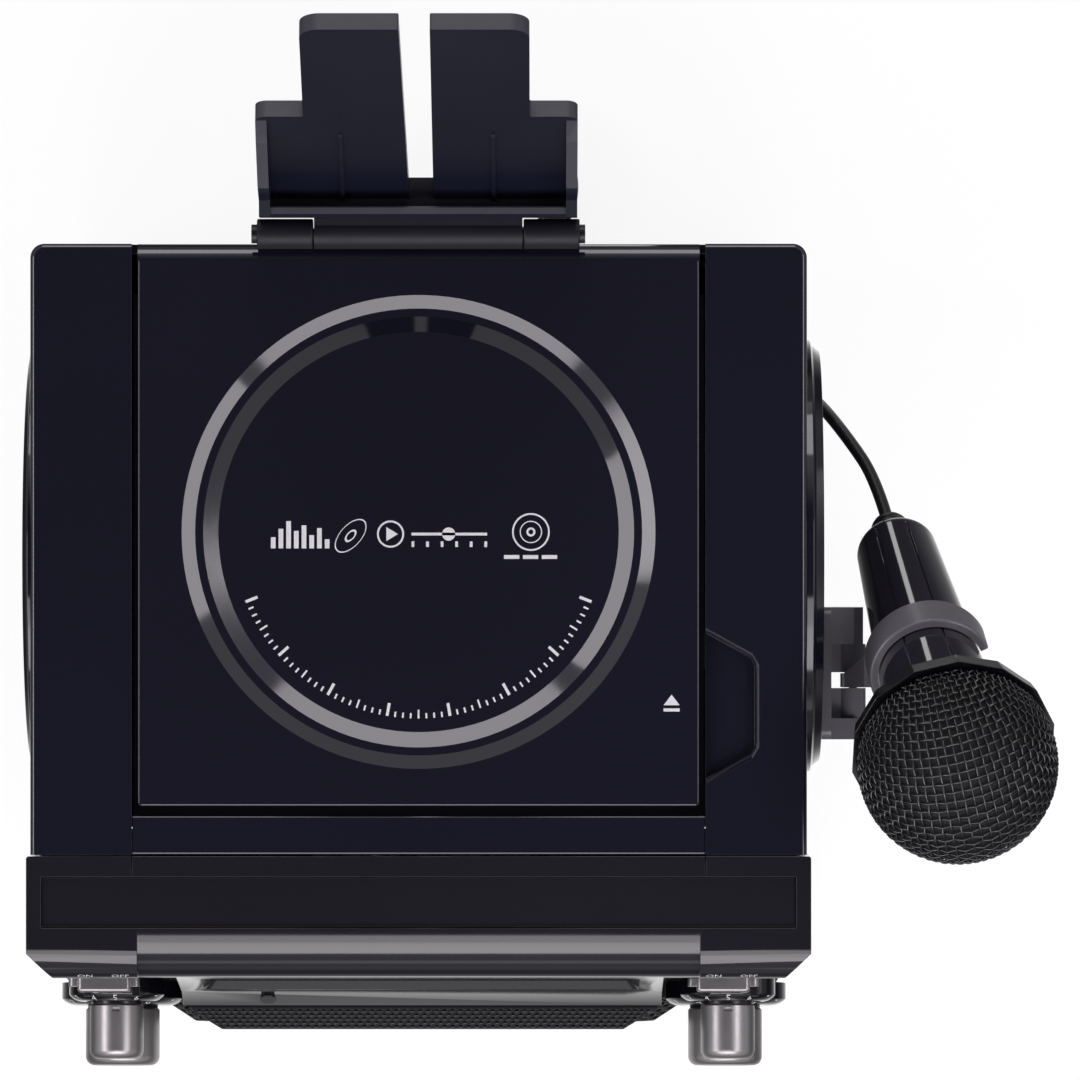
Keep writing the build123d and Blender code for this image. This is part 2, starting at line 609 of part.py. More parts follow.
with BuildPart() as top_insert:
    with BuildSketch(Plane.XY.offset(TOP_Z - INSERT_SINK)):
        with Locations((0, (INSERT_REAR_Y + INSERT_FRONT_Y) / 2)):
            Rectangle(INSERT_W - FIT, INSERT_REAR_Y - INSERT_FRONT_Y - FIT)
    extrude(amount=-INSERT_T)
    fillet(top_insert.edges().group_by(Axis.Z)[-1], 0.4)
finish(top_insert.part, "top_insert")

# ---- Centre fascia: slanted display visor, bare name strip, seat for the grille, button row
FASCIA_BACK_Y = FRONT_Y + 2.0
GRILLE_SEAT_Y = STRIP_LOW_Y
CHIN_Z = GRILLE_LOW_Z - 2.0
JACK_X = FASCIA_X - 14.2
BUTTON_PITCH = 2 * (JACK_X - 26.0) / (BUTTON_COUNT - 1)
JACK_R = 3.3
IR_X = -45.3
IR_W = 4.2
IR_H = 8.0
with BuildPart() as centre_fascia:
    with BuildSketch(Plane.YZ.offset(-FASCIA_X)):
        with BuildLine():
            Polyline(
                (FASCIA_BACK_Y, FASCIA_BOTTOM_Z),
                (FASCIA_BACK_Y, FASCIA_TOP_Z),
                (FRONT_Y - 0.6, FASCIA_TOP_Z),
                (STRIP_TOP_Y, STRIP_TOP_Z),
                (STRIP_LOW_Y, STRIP_LOW_Z),
                (STRIP_LOW_Y, CHIN_Z),
                (CHIN_Y, CHIN_Z - 4.0),
                (CHIN_Y, FASCIA_BOTTOM_Z + 1.5),
                (CHIN_Y + 1.5, FASCIA_BOTTOM_Z),
                close=True,
            )
        make_face()
    extrude(amount=FASCIA_W)
    with BuildSketch(Plane.XZ.offset(-FASCIA_BACK_Y - 1)):
        add(fascia_outline(0, FASCIA_BOTTOM_Z, FASCIA_TOP_Z, FASCIA_X, FASCIA_NECK_W / 2))
    extrude(amount=30, mode=Mode.INTERSECT)
    # Display pocket with bevelled sides
    visor = Plane(
        origin=(0, FRONT_Y - 0.6 + (STRIP_TOP_Y - FRONT_Y + 0.6) * (FASCIA_TOP_Z - DISPLAY_Z) / (FASCIA_TOP_Z - STRIP_TOP_Z), DISPLAY_Z),
        x_dir=(1, 0, 0),
        z_dir=(0, -(FASCIA_TOP_Z - STRIP_TOP_Z), -(STRIP_TOP_Y - FRONT_Y + 0.6)),
    )
    with BuildSketch(visor.offset(0.01)):
        RectangleRounded(DISPLAY_W + 2 * DISPLAY_BEVEL, DISPLAY_H + 2 * DISPLAY_BEVEL, 2)
    with BuildSketch(visor.offset(-DISPLAY_DEPTH)) as display_floor:
        RectangleRounded(DISPLAY_W, DISPLAY_H, 1)
    loft(mode=Mode.SUBTRACT)
    # Recess for the infrared window in the name strip
    strip = Plane(
        origin=(IR_X, (STRIP_TOP_Y + STRIP_LOW_Y) / 2, (STRIP_TOP_Z + STRIP_LOW_Z) / 2),
        x_dir=(1, 0, 0),
        z_dir=(0, -(STRIP_TOP_Z - STRIP_LOW_Z), STRIP_TOP_Y - STRIP_LOW_Y),
    )
    with BuildSketch(strip):
        RectangleRounded(IR_W, IR_H, 1.6)
    extrude(amount=-1.6, mode=Mode.SUBTRACT)
    # Opening behind the grille for the cone, and the button and jack holes in the chin
    with BuildSketch(Plane.XZ.offset(-FASCIA_BACK_Y - 1)):
        with Locations((0, SPEAKER_Z)):
            Circle(SPEAKER_R - 5)
        with Locations((0, BUTTON_Z)):
            with GridLocations(BUTTON_PITCH, 0, BUTTON_COUNT, 1):
                Circle(BUTTON_R + FIT)
        with Locations((-JACK_X, BUTTON_Z), (JACK_X, BUTTON_Z)):
            Circle(JACK_R + 2.4)
    extrude(amount=40, mode=Mode.SUBTRACT)
finish(centre_fascia.part, "centre_fascia")

with BuildPart() as display_window:
    with BuildSketch(visor.offset(-DISPLAY_DEPTH)):
        RectangleRounded(DISPLAY_W, DISPLAY_H, 1)
    extrude(amount=1.0)
finish(display_window.part, "display_window")

with BuildPart() as infrared_window:
    with BuildSketch(strip.offset(-1.6)):
        RectangleRounded(IR_W - 0.2, IR_H - 0.2, 1.5)
    extrude(amount=2.1)
    fillet(infrared_window.edges().group_by(Axis.Y)[0], 0.3)
finish(infrared_window.part, "infrared_window")

# ---- Speaker: bulged grille, basket, cone and magnet
with BuildPart() as speaker_grille:
    with BuildSketch(Plane.XZ.offset(-GRILLE_SEAT_Y)):
        add(fascia_outline(-GRILLE_EDGE, GRILLE_LOW_Z, GRILLE_TOP_Z, FASCIA_X, FASCIA_NECK_W / 2))
    extrude(amount=GRILLE_SIDE_D)
    fillet(speaker_grille.edges().filter_by(Axis.Y), 2.5)
    with BuildSketch(Plane.XZ.offset(-GRILLE_SEAT_Y + GRILLE_SIDE_D)):
        add(fascia_outline(-GRILLE_EDGE, GRILLE_LOW_Z, GRILLE_TOP_Z, FASCIA_X, FASCIA_NECK_W / 2))
        fillet(vertices(), 2.5)
    with BuildSketch(Plane.XZ.offset(-GRILLE_FRONT_Y)):
        add(fascia_outline(-GRILLE_EDGE - GRILLE_SLOPE, GRILLE_LOW_Z, GRILLE_TOP_Z, FASCIA_X, FASCIA_NECK_W / 2))
        fillet(vertices(), 2.5)
    loft()
    offset(amount=-GRILLE_T, openings=speaker_grille.faces().sort_by(Axis.Y)[-1])
finish(speaker_grille.part, "speaker_grille")

BASKET_T = 28.0
MAGNET_R = 34.0
MAGNET_T = 14.0
with BuildPart() as speaker_basket:
    with BuildSketch(Plane.XY.offset(SPEAKER_Z)):
        with BuildLine():
            Polyline(
                (CONE_R + 1, FASCIA_BACK_Y),
                (SPEAKER_R, FASCIA_BACK_Y),
                (SPEAKER_R, FASCIA_BACK_Y + 2),
                (SPEAKER_R - 8, FASCIA_BACK_Y + 2),
                (30, FASCIA_BACK_Y + BASKET_T),
                (20, FASCIA_BACK_Y + BASKET_T),
                (20, FASCIA_BACK_Y + BASKET_T - 2),
                (28.4, FASCIA_BACK_Y + BASKET_T - 2),
                (CONE_R + 1, FASCIA_BACK_Y + 2.6),
                close=True,
            )
        make_face()
    revolve(axis=Axis((0, 0, SPEAKER_Z), (0, 1, 0)))
    with BuildSketch(Plane.XZ.offset(-FASCIA_BACK_Y - 3)):
        with Locations((0, SPEAKER_Z)):
            with PolarLocations(41, 6):
                SlotOverall(20, 13, rotation=90)
    extrude(amount=-22, mode=Mode.SUBTRACT)
    # Magnet behind
    with BuildSketch(Plane.XZ.offset(-FASCIA_BACK_Y - BASKET_T)):
        with Locations((0, SPEAKER_Z)):
            Circle(MAGNET_R)
    extrude(amount=-MAGNET_T)
    fillet(speaker_basket.faces().sort_by(Axis.Y)[-1].edges(), 1.5)
finish(speaker_basket.part, "speaker_basket")

with BuildPart() as speaker_cone:
    with BuildSketch(Plane.XY.offset(SPEAKER_Z)):
        with BuildLine():
            Line((CONE_R + 1, FASCIA_BACK_Y), (CONE_R + 1, FASCIA_BACK_Y + 0.8))
            Line((CONE_R + 1, FASCIA_BACK_Y + 0.8), (CONE_R - 5, FASCIA_BACK_Y + 0.8))
            Line((CONE_R - 5, FASCIA_BACK_Y + 0.8), (15, FASCIA_BACK_Y + 19))
            Line((15, FASCIA_BACK_Y + 19), (0, FASCIA_BACK_Y + 14))
            Line((0, FASCIA_BACK_Y + 14), (0, FASCIA_BACK_Y + 13))
            Line((0, FASCIA_BACK_Y + 13), (14.6, FASCIA_BACK_Y + 17.8))
            Line((14.6, FASCIA_BACK_Y + 17.8), (CONE_R - 6, FASCIA_BACK_Y))
            ThreePointArc((CONE_R - 6, FASCIA_BACK_Y), (CONE_R - 3, FASCIA_BACK_Y - 2), (CONE_R, FASCIA_BACK_Y))
            Line((CONE_R, FASCIA_BACK_Y), (CONE_R + 1, FASCIA_BACK_Y))
        make_face()
    revolve(axis=Axis((0, 0, SPEAKER_Z), (0, 1, 0)))
finish(speaker_cone.part, "speaker_cone")

# ---- Domed dial rings, knobs and potentiometers, seated on the slanted columns
SEATS = [
    ("knob_upper_left", -COLUMN_X, SMALL_KNOB_Z, SMALL_KNOB_R, SMALL_KNOB_LEN, SMALL_DIAL_R),
    ("knob_upper_right", COLUMN_X, SMALL_KNOB_Z, SMALL_KNOB_R, SMALL_KNOB_LEN, SMALL_DIAL_R),
    ("knob_lower_left", -COLUMN_X, LARGE_KNOB_Z, LARGE_KNOB_R, LARGE_KNOB_LEN, LARGE_DIAL_R),
    ("knob_lower_right", COLUMN_X, LARGE_KNOB_Z, LARGE_KNOB_R, LARGE_KNOB_LEN, LARGE_DIAL_R),
]
RING_HOLE_R = POT_SHAFT_R + 1.2
RING_EDGE_T = 4.8
with BuildPart() as dial_rings:
    for name, side, height, radius, length, ring in SEATS:
        seat = column_face(side, height)
        section = Plane(origin=seat.origin, x_dir=(1, 0, 0), z_dir=seat.x_dir.cross(seat.z_dir))
        with BuildSketch(section):
            with BuildLine():
                Line((RING_HOLE_R, 0), (ring, 0))
                Line((ring, 0), (ring, RING_EDGE_T))
                ThreePointArc((ring, RING_EDGE_T), (ring * 0.9, DIAL_DOME * 0.9), (ring * 0.7, DIAL_DOME))
                Line((ring * 0.7, DIAL_DOME), (RING_HOLE_R, DIAL_DOME))
                Line((RING_HOLE_R, DIAL_DOME), (RING_HOLE_R, 0))
            make_face()
        revolve(axis=Axis(seat.origin, seat.z_dir))
finish(dial_rings.part, "dial_rings")

POT_R = 8.5
POT_T = 8.0
KNOB_EDGE_R = 2.6
POINTER_W = 2.4
POINTER_D = 0.5
for name, side, height, radius, length, ring in SEATS:
    seat = column_face(side, height)
    with BuildPart() as knob:
        with BuildSketch(seat.offset(DIAL_DOME + KNOB_GAP)):
            Circle(radius)
        extrude(amount=length)
        fillet(knob.faces().sort_by(Axis(seat.origin, seat.z_dir))[-1].edges(), KNOB_EDGE_R)
        chamfer(knob.faces().sort_by(Axis(seat.origin, seat.z_dir))[0].edges(), 0.5)
        # Pointer notch on the barrel, close to the dial
        with BuildSketch(seat.offset(DIAL_DOME + KNOB_GAP + 1.4)):
            with Locations((0, radius)):
                Rectangle(POINTER_W, 2 * POINTER_D)
        extrude(amount=0.9, mode=Mode.SUBTRACT)
        # Stem through the column to the potentiometer
        with BuildSketch(seat.offset(-BEZEL_WALL)):
            Circle(POT_SHAFT_R)
        extrude(amount=BEZEL_WALL + DIAL_DOME + KNOB_GAP)
    finish(knob.part, name)

with BuildPart() as potentiometers:
    for name, side, height, radius, length, ring in SEATS:
        with BuildSketch(column_face(side, height).offset(-BEZEL_WALL)):
            Circle(POT_R)
        extrude(amount=-POT_T)
finish(potentiometers.part, "potentiometers")

# ---- Slide switches: a grey cap with side lugs that slides across a dark plate
PLATE_T = 0.9
CAP_GAP = 0.3
LUG_W = 2.6
with BuildPart() as switch_plates:
    for side in (-COLUMN_X, COLUMN_X):
        with BuildSketch(column_face(side, SWITCH_Z)):
            RectangleRounded(SWITCH_SLOT_W + 2 * LUG_W, SWITCH_CAP_H + 3, 2)
            Rectangle(STEM_W + SWITCH_TRAVEL + 1, STEM_H + 0.8, mode=Mode.SUBTRACT)
        extrude(amount=PLATE_T)
        with BuildSketch(column_face(side, SWITCH_Z)):
            with Locations((0, -SWITCH_CAP_H / 2 - 3.0)):
                with GridLocations(14, 0, 2, 1):
                    Rectangle(2.4, 1.8)
        extrude(amount=PLATE_T + 5.4)
finish(switch_plates.part, "switch_plates")

with BuildPart() as switch_bodies:
    for side in (-COLUMN_X, COLUMN_X):
        with BuildSketch(column_face(side, SWITCH_Z).offset(-BEZEL_WALL)):
            Rectangle(20, 9)
        extrude(amount=-7)
finish(switch_bodies.part, "switch_bodies")

for name, side in (("switch_cap_left", -COLUMN_X), ("switch_cap_right", COLUMN_X)):
    seat = column_face(side - SWITCH_TRAVEL / 2, SWITCH_Z)
    with BuildPart() as cap:
        with BuildSketch(seat.offset(PLATE_T + CAP_GAP)):
            RectangleRounded(SWITCH_CAP_W, SWITCH_CAP_H, 1.4)
        extrude(amount=SWITCH_CAP_PROUD - PLATE_T - CAP_GAP)
        fillet(cap.faces().sort_by(Axis(seat.origin, seat.z_dir))[-1].edges(), 0.9)
        with BuildSketch(seat.offset(PLATE_T + CAP_GAP)):
            RectangleRounded(SWITCH_CAP_W + 2 * LUG_W, SWITCH_CAP_H - 2.2, 1.6)
        extrude(amount=2.4)
        with BuildSketch(seat.offset(PLATE_T + CAP_GAP)):
            Rectangle(STEM_W, STEM_H)
        extrude(amount=-(BEZEL_WALL + PLATE_T + CAP_GAP - FIT))
    finish(cap.part, name)

# ---- Push buttons in the chin, each on its own travel, and two microphone sockets beside them
BUTTON_FRONT_Y = CHIN_Y - 2.0
BUTTON_RIM_T = 1.4
BUTTON_TRAVEL = 1.5
for index in range(BUTTON_COUNT):
    place = (index - (BUTTON_COUNT - 1) / 2) * BUTTON_PITCH
    with BuildPart() as button:
        with BuildSketch(Plane.XZ.offset(-BUTTON_FRONT_Y)):
            with Locations((place, BUTTON_Z)):
                Circle(BUTTON_R)
        extrude(amount=BUTTON_FRONT_Y - FASCIA_BACK_Y - FIT)
        fillet(button.edges().group_by(Axis.Y)[0], 0.9)
        with BuildSketch(Plane.XZ.offset(-FASCIA_BACK_Y - FIT)):
            with Locations((place, BUTTON_Z)):
                Circle(BUTTON_R + 1.6)
        extrude(amount=-BUTTON_RIM_T)
    finish(button.part, f"button_{index + 1}")

with BuildPart() as microphone_sockets:
    with BuildSketch(Plane.XZ.offset(-FASCIA_BACK_Y)):
        with GridLocations(2 * JACK_X, 0, 2, 1):
            with Locations((0, BUTTON_Z)):
                Circle(JACK_R + 2.4)
                Circle(JACK_R, mode=Mode.SUBTRACT)
    extrude(amount=7.5)
    with BuildSketch(Plane.XZ.offset(-FASCIA_BACK_Y)):
        with GridLocations(2 * JACK_X, 0, 2, 1):
            with Locations((0, BUTTON_Z)):
                Rectangle(16, 16)
                Circle(JACK_R, mode=Mode.SUBTRACT)
    extrude(amount=-22)
finish(microphone_sockets.part, "microphone_sockets")

# ---- Round side caps: stepped discs on both side walls
for name, side in (("side_cap_left", -1), ("side_cap_right", 1)):
    with BuildPart() as side_cap:
        with BuildSketch(Plane.XY.offset(CAP_Z)):
            with BuildLine():
                Polyline(
                    (side * CABINET_X, CAP_Y),
                    (side * CABINET_X, CAP_Y + CAP_R),
                    (side * (CABINET_X + 2.2), CAP_Y + CAP_R),
                    (side * (CABINET_X + 2.8), CAP_Y + CAP_R - 1.6),
                    (side * (CABINET_X + CAP_PROUD), CAP_Y + CAP_R - 3.4),
                    (side * (CABINET_X + CAP_PROUD), CAP_Y + CAP_R - 9),
                    (side * (CABINET_X + CAP_PROUD - 1.2), CAP_Y + CAP_R - 10),
                    (side * (CABINET_X + CAP_PROUD - 1.2), CAP_Y + CAP_R - 12),
                    (side * (CABINET_X + CAP_PROUD), CAP_Y + CAP_R - 13),
                    (side * (CABINET_X + CAP_PROUD), CAP_Y),
                    close=True,
                )
            make_face()
        revolve(axis=Axis((0, CAP_Y, CAP_Z), (1, 0, 0)))
    finish(side_cap.part, name)

# ---- Rear panel with vents and sockets, its screws and the sockets themselves
REAR_T = 2.2
SCREW_R = 1.6
SCREW_HEAD_R = 3.0
SCREW_X = PANEL_W / 2 - 7
OUTLET_Z = 70.0
with BuildPart() as rear_panel:
    with BuildSketch(Plane.XZ.offset(-REAR_Y + 0.4)):
        with Locations((0, (PANEL_LOW_Z + PANEL_HIGH_Z) / 2)):
            RectangleRounded(PANEL_W - 2 * FIT, PANEL_HIGH_Z - PANEL_LOW_Z - 2 * FIT, 3)
        with Locations((0, 186)):
            with GridLocations(16, 9, 8, 8):
                SlotOverall(13, 3.2, mode=Mode.SUBTRACT)
        with Locations((-54, OUTLET_Z)):
            Rectangle(28, 20, mode=Mode.SUBTRACT)
        with Locations((20, OUTLET_Z)):
            with GridLocations(14, 0, 4, 1):
                Circle(5.2, mode=Mode.SUBTRACT)
        with Locations((0, (PANEL_LOW_Z + PANEL_HIGH_Z) / 2)):
            with GridLocations(2 * SCREW_X, PANEL_HIGH_Z - PANEL_LOW_Z - 16, 2, 2):
                Circle(SCREW_R, mode=Mode.SUBTRACT)
    extrude(amount=REAR_T)
finish(rear_panel.part, "rear_panel")

with BuildPart() as rear_screws:
    with BuildSketch(Plane.XZ.offset(-REAR_Y + 0.4)):
        with Locations((0, (PANEL_LOW_Z + PANEL_HIGH_Z) / 2)):
            with GridLocations(2 * SCREW_X, PANEL_HIGH_Z - PANEL_LOW_Z - 16, 2, 2):
                Circle(SCREW_HEAD_R)
    extrude(amount=-1.6)
    fillet(rear_screws.edges().group_by(Axis.Y)[-1], 0.7)
    with BuildSketch(Plane.XZ.offset(-REAR_Y + 0.4)):
        with Locations((0, (PANEL_LOW_Z + PANEL_HIGH_Z) / 2)):
            with GridLocations(2 * SCREW_X, PANEL_HIGH_Z - PANEL_LOW_Z - 16, 2, 2):
                Circle(SCREW_R)
    extrude(amount=8)
finish(rear_screws.part, "rear_screws")

with BuildPart() as rear_sockets:
    with BuildSketch(Plane.XZ.offset(-REAR_Y + 0.4)):
        with Locations((20, OUTLET_Z)):
            with GridLocations(14, 0, 4, 1):
                Circle(5.0)
                Circle(2.0, mode=Mode.SUBTRACT)
    extrude(amount=12)
    with BuildSketch(Plane.XZ.offset(-REAR_Y + 0.4)):
        with Locations((-54, OUTLET_Z)):
            Rectangle(27.6, 19.6)
            Rectangle(21, 13, mode=Mode.SUBTRACT)
    extrude(amount=18)
    with BuildSketch(Plane.XZ.offset(-REAR_Y + 0.4 + 14)):
        with Locations((-54, OUTLET_Z)):
            Rectangle(27.6, 19.6)
    extrude(amount=4)
finish(rear_sockets.part, "rear_sockets")

# ---- Electronics on the cabinet's floor
FLOOR_Z = FOOT_H + WALL
STANDOFF_H = 5.0
SINK_X = 86.0
SINK_W = 14.0
SINK_H = 26.0
SINK_LEN = 50.0
SINK_FRONT = 8.0
with BuildPart() as main_board:
    with BuildSketch(Plane.XY.offset(FLOOR_Z + STANDOFF_H)):
        with Locations((52, 30)):
            Rectangle(86, 100)
    extrude(amount=BOARD_T)
    with BuildSketch(Plane.XY.offset(FLOOR_Z)):
        with Locations((52, 30)):
            with GridLocations(76, 90, 2, 2):
                Circle(3)
    extrude(amount=STANDOFF_H)
    with BuildSketch(Plane.XY.offset(FLOOR_Z + STANDOFF_H + BOARD_T)):
        with Locations((40, 50), (70, 44)):
            Rectangle(18, 18)
        with Locations((34, 8), (48, 8), (62, 8)):
            Circle(5)
    extrude(amount=3)
    # Finned heat sink for the amplifier along the board's right edge
    with BuildSketch(Plane.XZ.offset(SINK_FRONT)):
        with Locations((SINK_X, FLOOR_Z + STANDOFF_H + BOARD_T + SINK_H / 2)):
            Rectangle(SINK_W, SINK_H)
            with Locations((0, 2)):
                with GridLocations(4, 0, 3, 1):
                    Rectangle(2, SINK_H - 4, mode=Mode.SUBTRACT)
    extrude(amount=-SINK_LEN)
finish(main_board.part, "main_board")

with BuildPart() as power_transformer:
    with BuildSketch(Plane.XY.offset(FLOOR_Z)):
        with Locations((-52, 20)):
            Rectangle(56, 48)
    extrude(amount=44)
    fillet(power_transformer.edges().filter_by(Axis.Z), 2)
    with BuildSketch(Plane.XY.offset(FLOOR_Z)):
        with Locations((-52, 20)):
            Rectangle(74, 20)
    extrude(amount=2)
finish(power_transformer.part, "power_transformer")

# ---- Front boards: one behind the display, one on two posts behind the buttons
BOARD_POST_X = JACK_X - 12.0
BOARD_POST_LEN = FIT + BUTTON_RIM_T + BUTTON_TRAVEL + FIT
with BuildPart() as front_boards:
    with BuildSketch(Plane.XZ.offset(-FASCIA_BACK_Y)):
        with Locations((0, DISPLAY_Z)):
            Rectangle(FASCIA_NECK_W - 5, DISPLAY_H + 8)
    extrude(amount=-BOARD_T)
    with BuildSketch(Plane.XZ.offset(-FASCIA_BACK_Y - BOARD_POST_LEN)):
        with Locations((0, BUTTON_Z)):
            Rectangle(2 * BOARD_POST_X + 8, 18)
    extrude(amount=-BOARD_T)
    with BuildSketch(Plane.XZ.offset(-FASCIA_BACK_Y)):
        with GridLocations(2 * BOARD_POST_X, 0, 2, 1):
            with Locations((0, BUTTON_Z)):
                Circle(2.5)
    extrude(amount=-BOARD_POST_LEN)
finish(front_boards.part, "front_boards")

# ---- Tablet cradle on the rear wall: bracket, pin, and a forked tray that leans back
CRADLE_X = 46.0
CRADLE_PIN_Y = REAR_Y + 2.6
CRADLE_PIN_Z = TOP_Z + 4.8
CRADLE_PIN_R = 1.5
CRADLE_BARREL_R = 4.3
KNUCKLE_X = 30.0
BRACKET_LOW_Z = TOP_Z - 34.0
with BuildPart() as cradle_base:
    for start in (-CRADLE_X, KNUCKLE_X):
        with BuildSketch(Plane.YZ.offset(start)):
            with BuildLine():
                Polyline(
                    (REAR_Y + 0.7, TOP_Z - 4),
                    (REAR_Y + 0.7, CRADLE_PIN_Z),
                    (REAR_Y + 4.4, CRADLE_PIN_Z),
                    (REAR_Y + 4.4, TOP_Z - 4),
                    close=True,
                )
            make_face()
            with Locations((CRADLE_PIN_Y, CRADLE_PIN_Z)):
                Circle(CRADLE_BARREL_R)
                Circle(CRADLE_PIN_R, mode=Mode.SUBTRACT)
        extrude(amount=CRADLE_X - KNUCKLE_X)
    with BuildSketch(Plane.YZ.offset(-CRADLE_X)):
        with BuildLine():
            Polyline(
                (REAR_Y, BRACKET_LOW_Z),
                (REAR_Y, NOTCH_Z - 1),
                (REAR_Y + 0.7, NOTCH_Z - 0.3),
                (REAR_Y + 0.7, TOP_Z - 0.8),
                (REAR_Y + 4.4, TOP_Z - 0.8),
                (REAR_Y + 4.4, BRACKET_LOW_Z + 3),
                (REAR_Y + 2.4, BRACKET_LOW_Z),
                close=True,
            )
        make_face()
    extrude(amount=2 * CRADLE_X)
    fillet(cradle_base.edges().filter_by(Axis.Y).group_by(Axis.Z)[0], 2.0)
finish(cradle_base.part, "cradle_base")

TRAY_X = 45.3
LIP_Y = CRADLE_PIN_Y + 4.7
LIP_T = 3.0
LIP_Z = TOP_Z + 12.0
TRAY_FLOOR_Z = TOP_Z + 0.6
TRAY_FLOOR_T = 2.6
BACK_FOOT_Y = LIP_Y + 5.4
BACK_FOOT_Z = TRAY_FLOOR_Z + TRAY_FLOOR_T
BACK_LEAN = 22.4
SHOULDER_Z = TOP_Z + 55.0
FINGER_TOP_Z = TOP_Z + 108.0
FINGER_X = 31.8
SLIT_X = 4.3
SLIT_FOOT_LEFT_X = 2.6
BACK_T = 5.0
SKIN_T = 1.9
SIDE_T = 3.2
BACK_RIB_LEN = 44.0
LEAN_COS = math.cos(math.radians(BACK_LEAN))
LEAN_SIN = math.sin(math.radians(BACK_LEAN))
SHOULDER_S = (SHOULDER_Z - BACK_FOOT_Z) / LEAN_COS
FINGER_S = (FINGER_TOP_Z - BACK_FOOT_Z) / LEAN_COS
back_face = Plane(origin=(0, BACK_FOOT_Y, BACK_FOOT_Z), x_dir=(1, 0, 0), z_dir=(0, -LEAN_COS, LEAN_SIN))


def lean_y(height):
    """Where the leaning front face stands at a height."""
    return BACK_FOOT_Y + (height - BACK_FOOT_Z) * LEAN_SIN / LEAN_COS


with BuildPart() as cradle_tray:
    with BuildSketch(back_face):
        for side, slit_foot in ((1, SLIT_X), (-1, SLIT_FOOT_LEFT_X)):
            with BuildLine() as half:
                FilletPolyline(
                    (side * slit_foot, -1.0),
                    (side * TRAY_X, -1.0),
                    (side * TRAY_X, SHOULDER_S),
                    (side * FINGER_X, SHOULDER_S),
                    (side * FINGER_X, FINGER_S),
                    (side * SLIT_X, FINGER_S),
                    radius=[0.3, 0.3, 3.2, 0.6, 5.6, 0.6],
                    close=True,
                )
            make_face()
    extrude(amount=-BACK_T)
    # Pockets behind leave a skin and a rim
    with BuildSketch(back_face.offset(-BACK_T)):
        for side in (1, -1):
            with Locations((side * (TRAY_X + SLIT_X) / 2, SHOULDER_S / 2 + 4)):
                Rectangle(TRAY_X - SLIT_X - 2 * SIDE_T, SHOULDER_S - 14)
            with Locations((side * (FINGER_X + SLIT_X) / 2, (FINGER_S + SHOULDER_S) / 2)):
                Rectangle(FINGER_X - SLIT_X - 2 * SIDE_T, FINGER_S - SHOULDER_S - 2 * SIDE_T)
    extrude(amount=BACK_T - SKIN_T, mode=Mode.SUBTRACT)
    # Floor and front lip
    with BuildSketch(Plane.YZ.offset(-TRAY_X)):
        with BuildLine():
            Polyline(
                (LIP_Y, TRAY_FLOOR_Z),
                (LIP_Y, LIP_Z - 0.8),
                (LIP_Y + 0.8, LIP_Z),
                (LIP_Y + LIP_T - 0.4, LIP_Z),
                (LIP_Y + LIP_T, LIP_Z - 0.4),
                (LIP_Y + LIP_T, BACK_FOOT_Z),
                (BACK_FOOT_Y, BACK_FOOT_Z),
                (BACK_FOOT_Y + BACK_T * LEAN_COS + 1.4, BACK_FOOT_Z - BACK_T * LEAN_SIN + 3.2),
                (BACK_FOOT_Y + BACK_T * LEAN_COS, TRAY_FLOOR_Z),
                close=True,
            )
        make_face()
    extrude(amount=2 * TRAY_X)
    # Side walls, stepping down from the back to the lip
    for start in (-TRAY_X, TRAY_X - SIDE_T):
        with BuildSketch(Plane.YZ.offset(start)):
            with BuildLine():
                Polyline(
                    (LIP_Y, TRAY_FLOOR_Z),
                    (LIP_Y, LIP_Z),
                    (LIP_Y + 4.6, LIP_Z + 1.5),
                    (LIP_Y + 7.6, LIP_Z + 14),
                    (lean_y(LIP_Z + 34) - 3.2, LIP_Z + 34),
                    (lean_y(SHOULDER_Z - 2.4), SHOULDER_Z - 2.4),
                    (lean_y(BACK_FOOT_Z) + 1, BACK_FOOT_Z),
                    (BACK_FOOT_Y + 1, TRAY_FLOOR_Z),
                    close=True,
                )
            make_face()
        extrude(amount=SIDE_T)
    # Knuckle round the pin
    with BuildSketch(Plane.YZ.offset(-KNUCKLE_X + FIT)):
        with Locations((CRADLE_PIN_Y, CRADLE_PIN_Z)):
            Circle(CRADLE_BARREL_R)
        with Locations((CRADLE_PIN_Y + 3, CRADLE_PIN_Z)):
            Rectangle(5, 2 * CRADLE_BARREL_R - 1.4)
        with Locations((CRADLE_PIN_Y, CRADLE_PIN_Z)):
            Circle(CRADLE_PIN_R + RUN, mode=Mode.SUBTRACT)
    extrude(amount=2 * KNUCKLE_X - 2 * FIT)
    # Slit through the lip's floor stays closed; two upright ribs stiffen the back low down
    with BuildSketch(back_face):
        with GridLocations(43, 0, 2, 1):
            with Locations((0, BACK_RIB_LEN / 2)):
                Rectangle(1.2, BACK_RIB_LEN)
    extrude(amount=0.9)
finish(cradle_tray.part, "cradle_tray")

# ---- Microphone: its axis runs from the head's rim down and back to the tail
MIC_RIM = Vector(CABINET_X + 41.0, -37.6, TOP_Z + 12.0)
MIC_AXIS = Vector(-13.4, 56.7, -88.0).normalized()
MIC_SIDE = MIC_AXIS.cross(Vector(0, 0, 1)).normalized()
MIC_LEN = 105.6
MIC_BALL_R = 28.7
MIC_BALL_S = -10.0
RIM_R = 29.6
RIM_SIDES = 14
HANDLE_HEAD_R = 16.2
HANDLE_CLIP_R = 14.9
HANDLE_TAIL_R = 11.8
CLIP_S = 43.0
RELIEF_LEN = 12.4
CORD_R = 1.85
mic_section = Plane(origin=MIC_RIM, x_dir=MIC_SIDE, z_dir=MIC_SIDE.cross(MIC_AXIS))
mic_axis = Axis(MIC_RIM, MIC_AXIS)


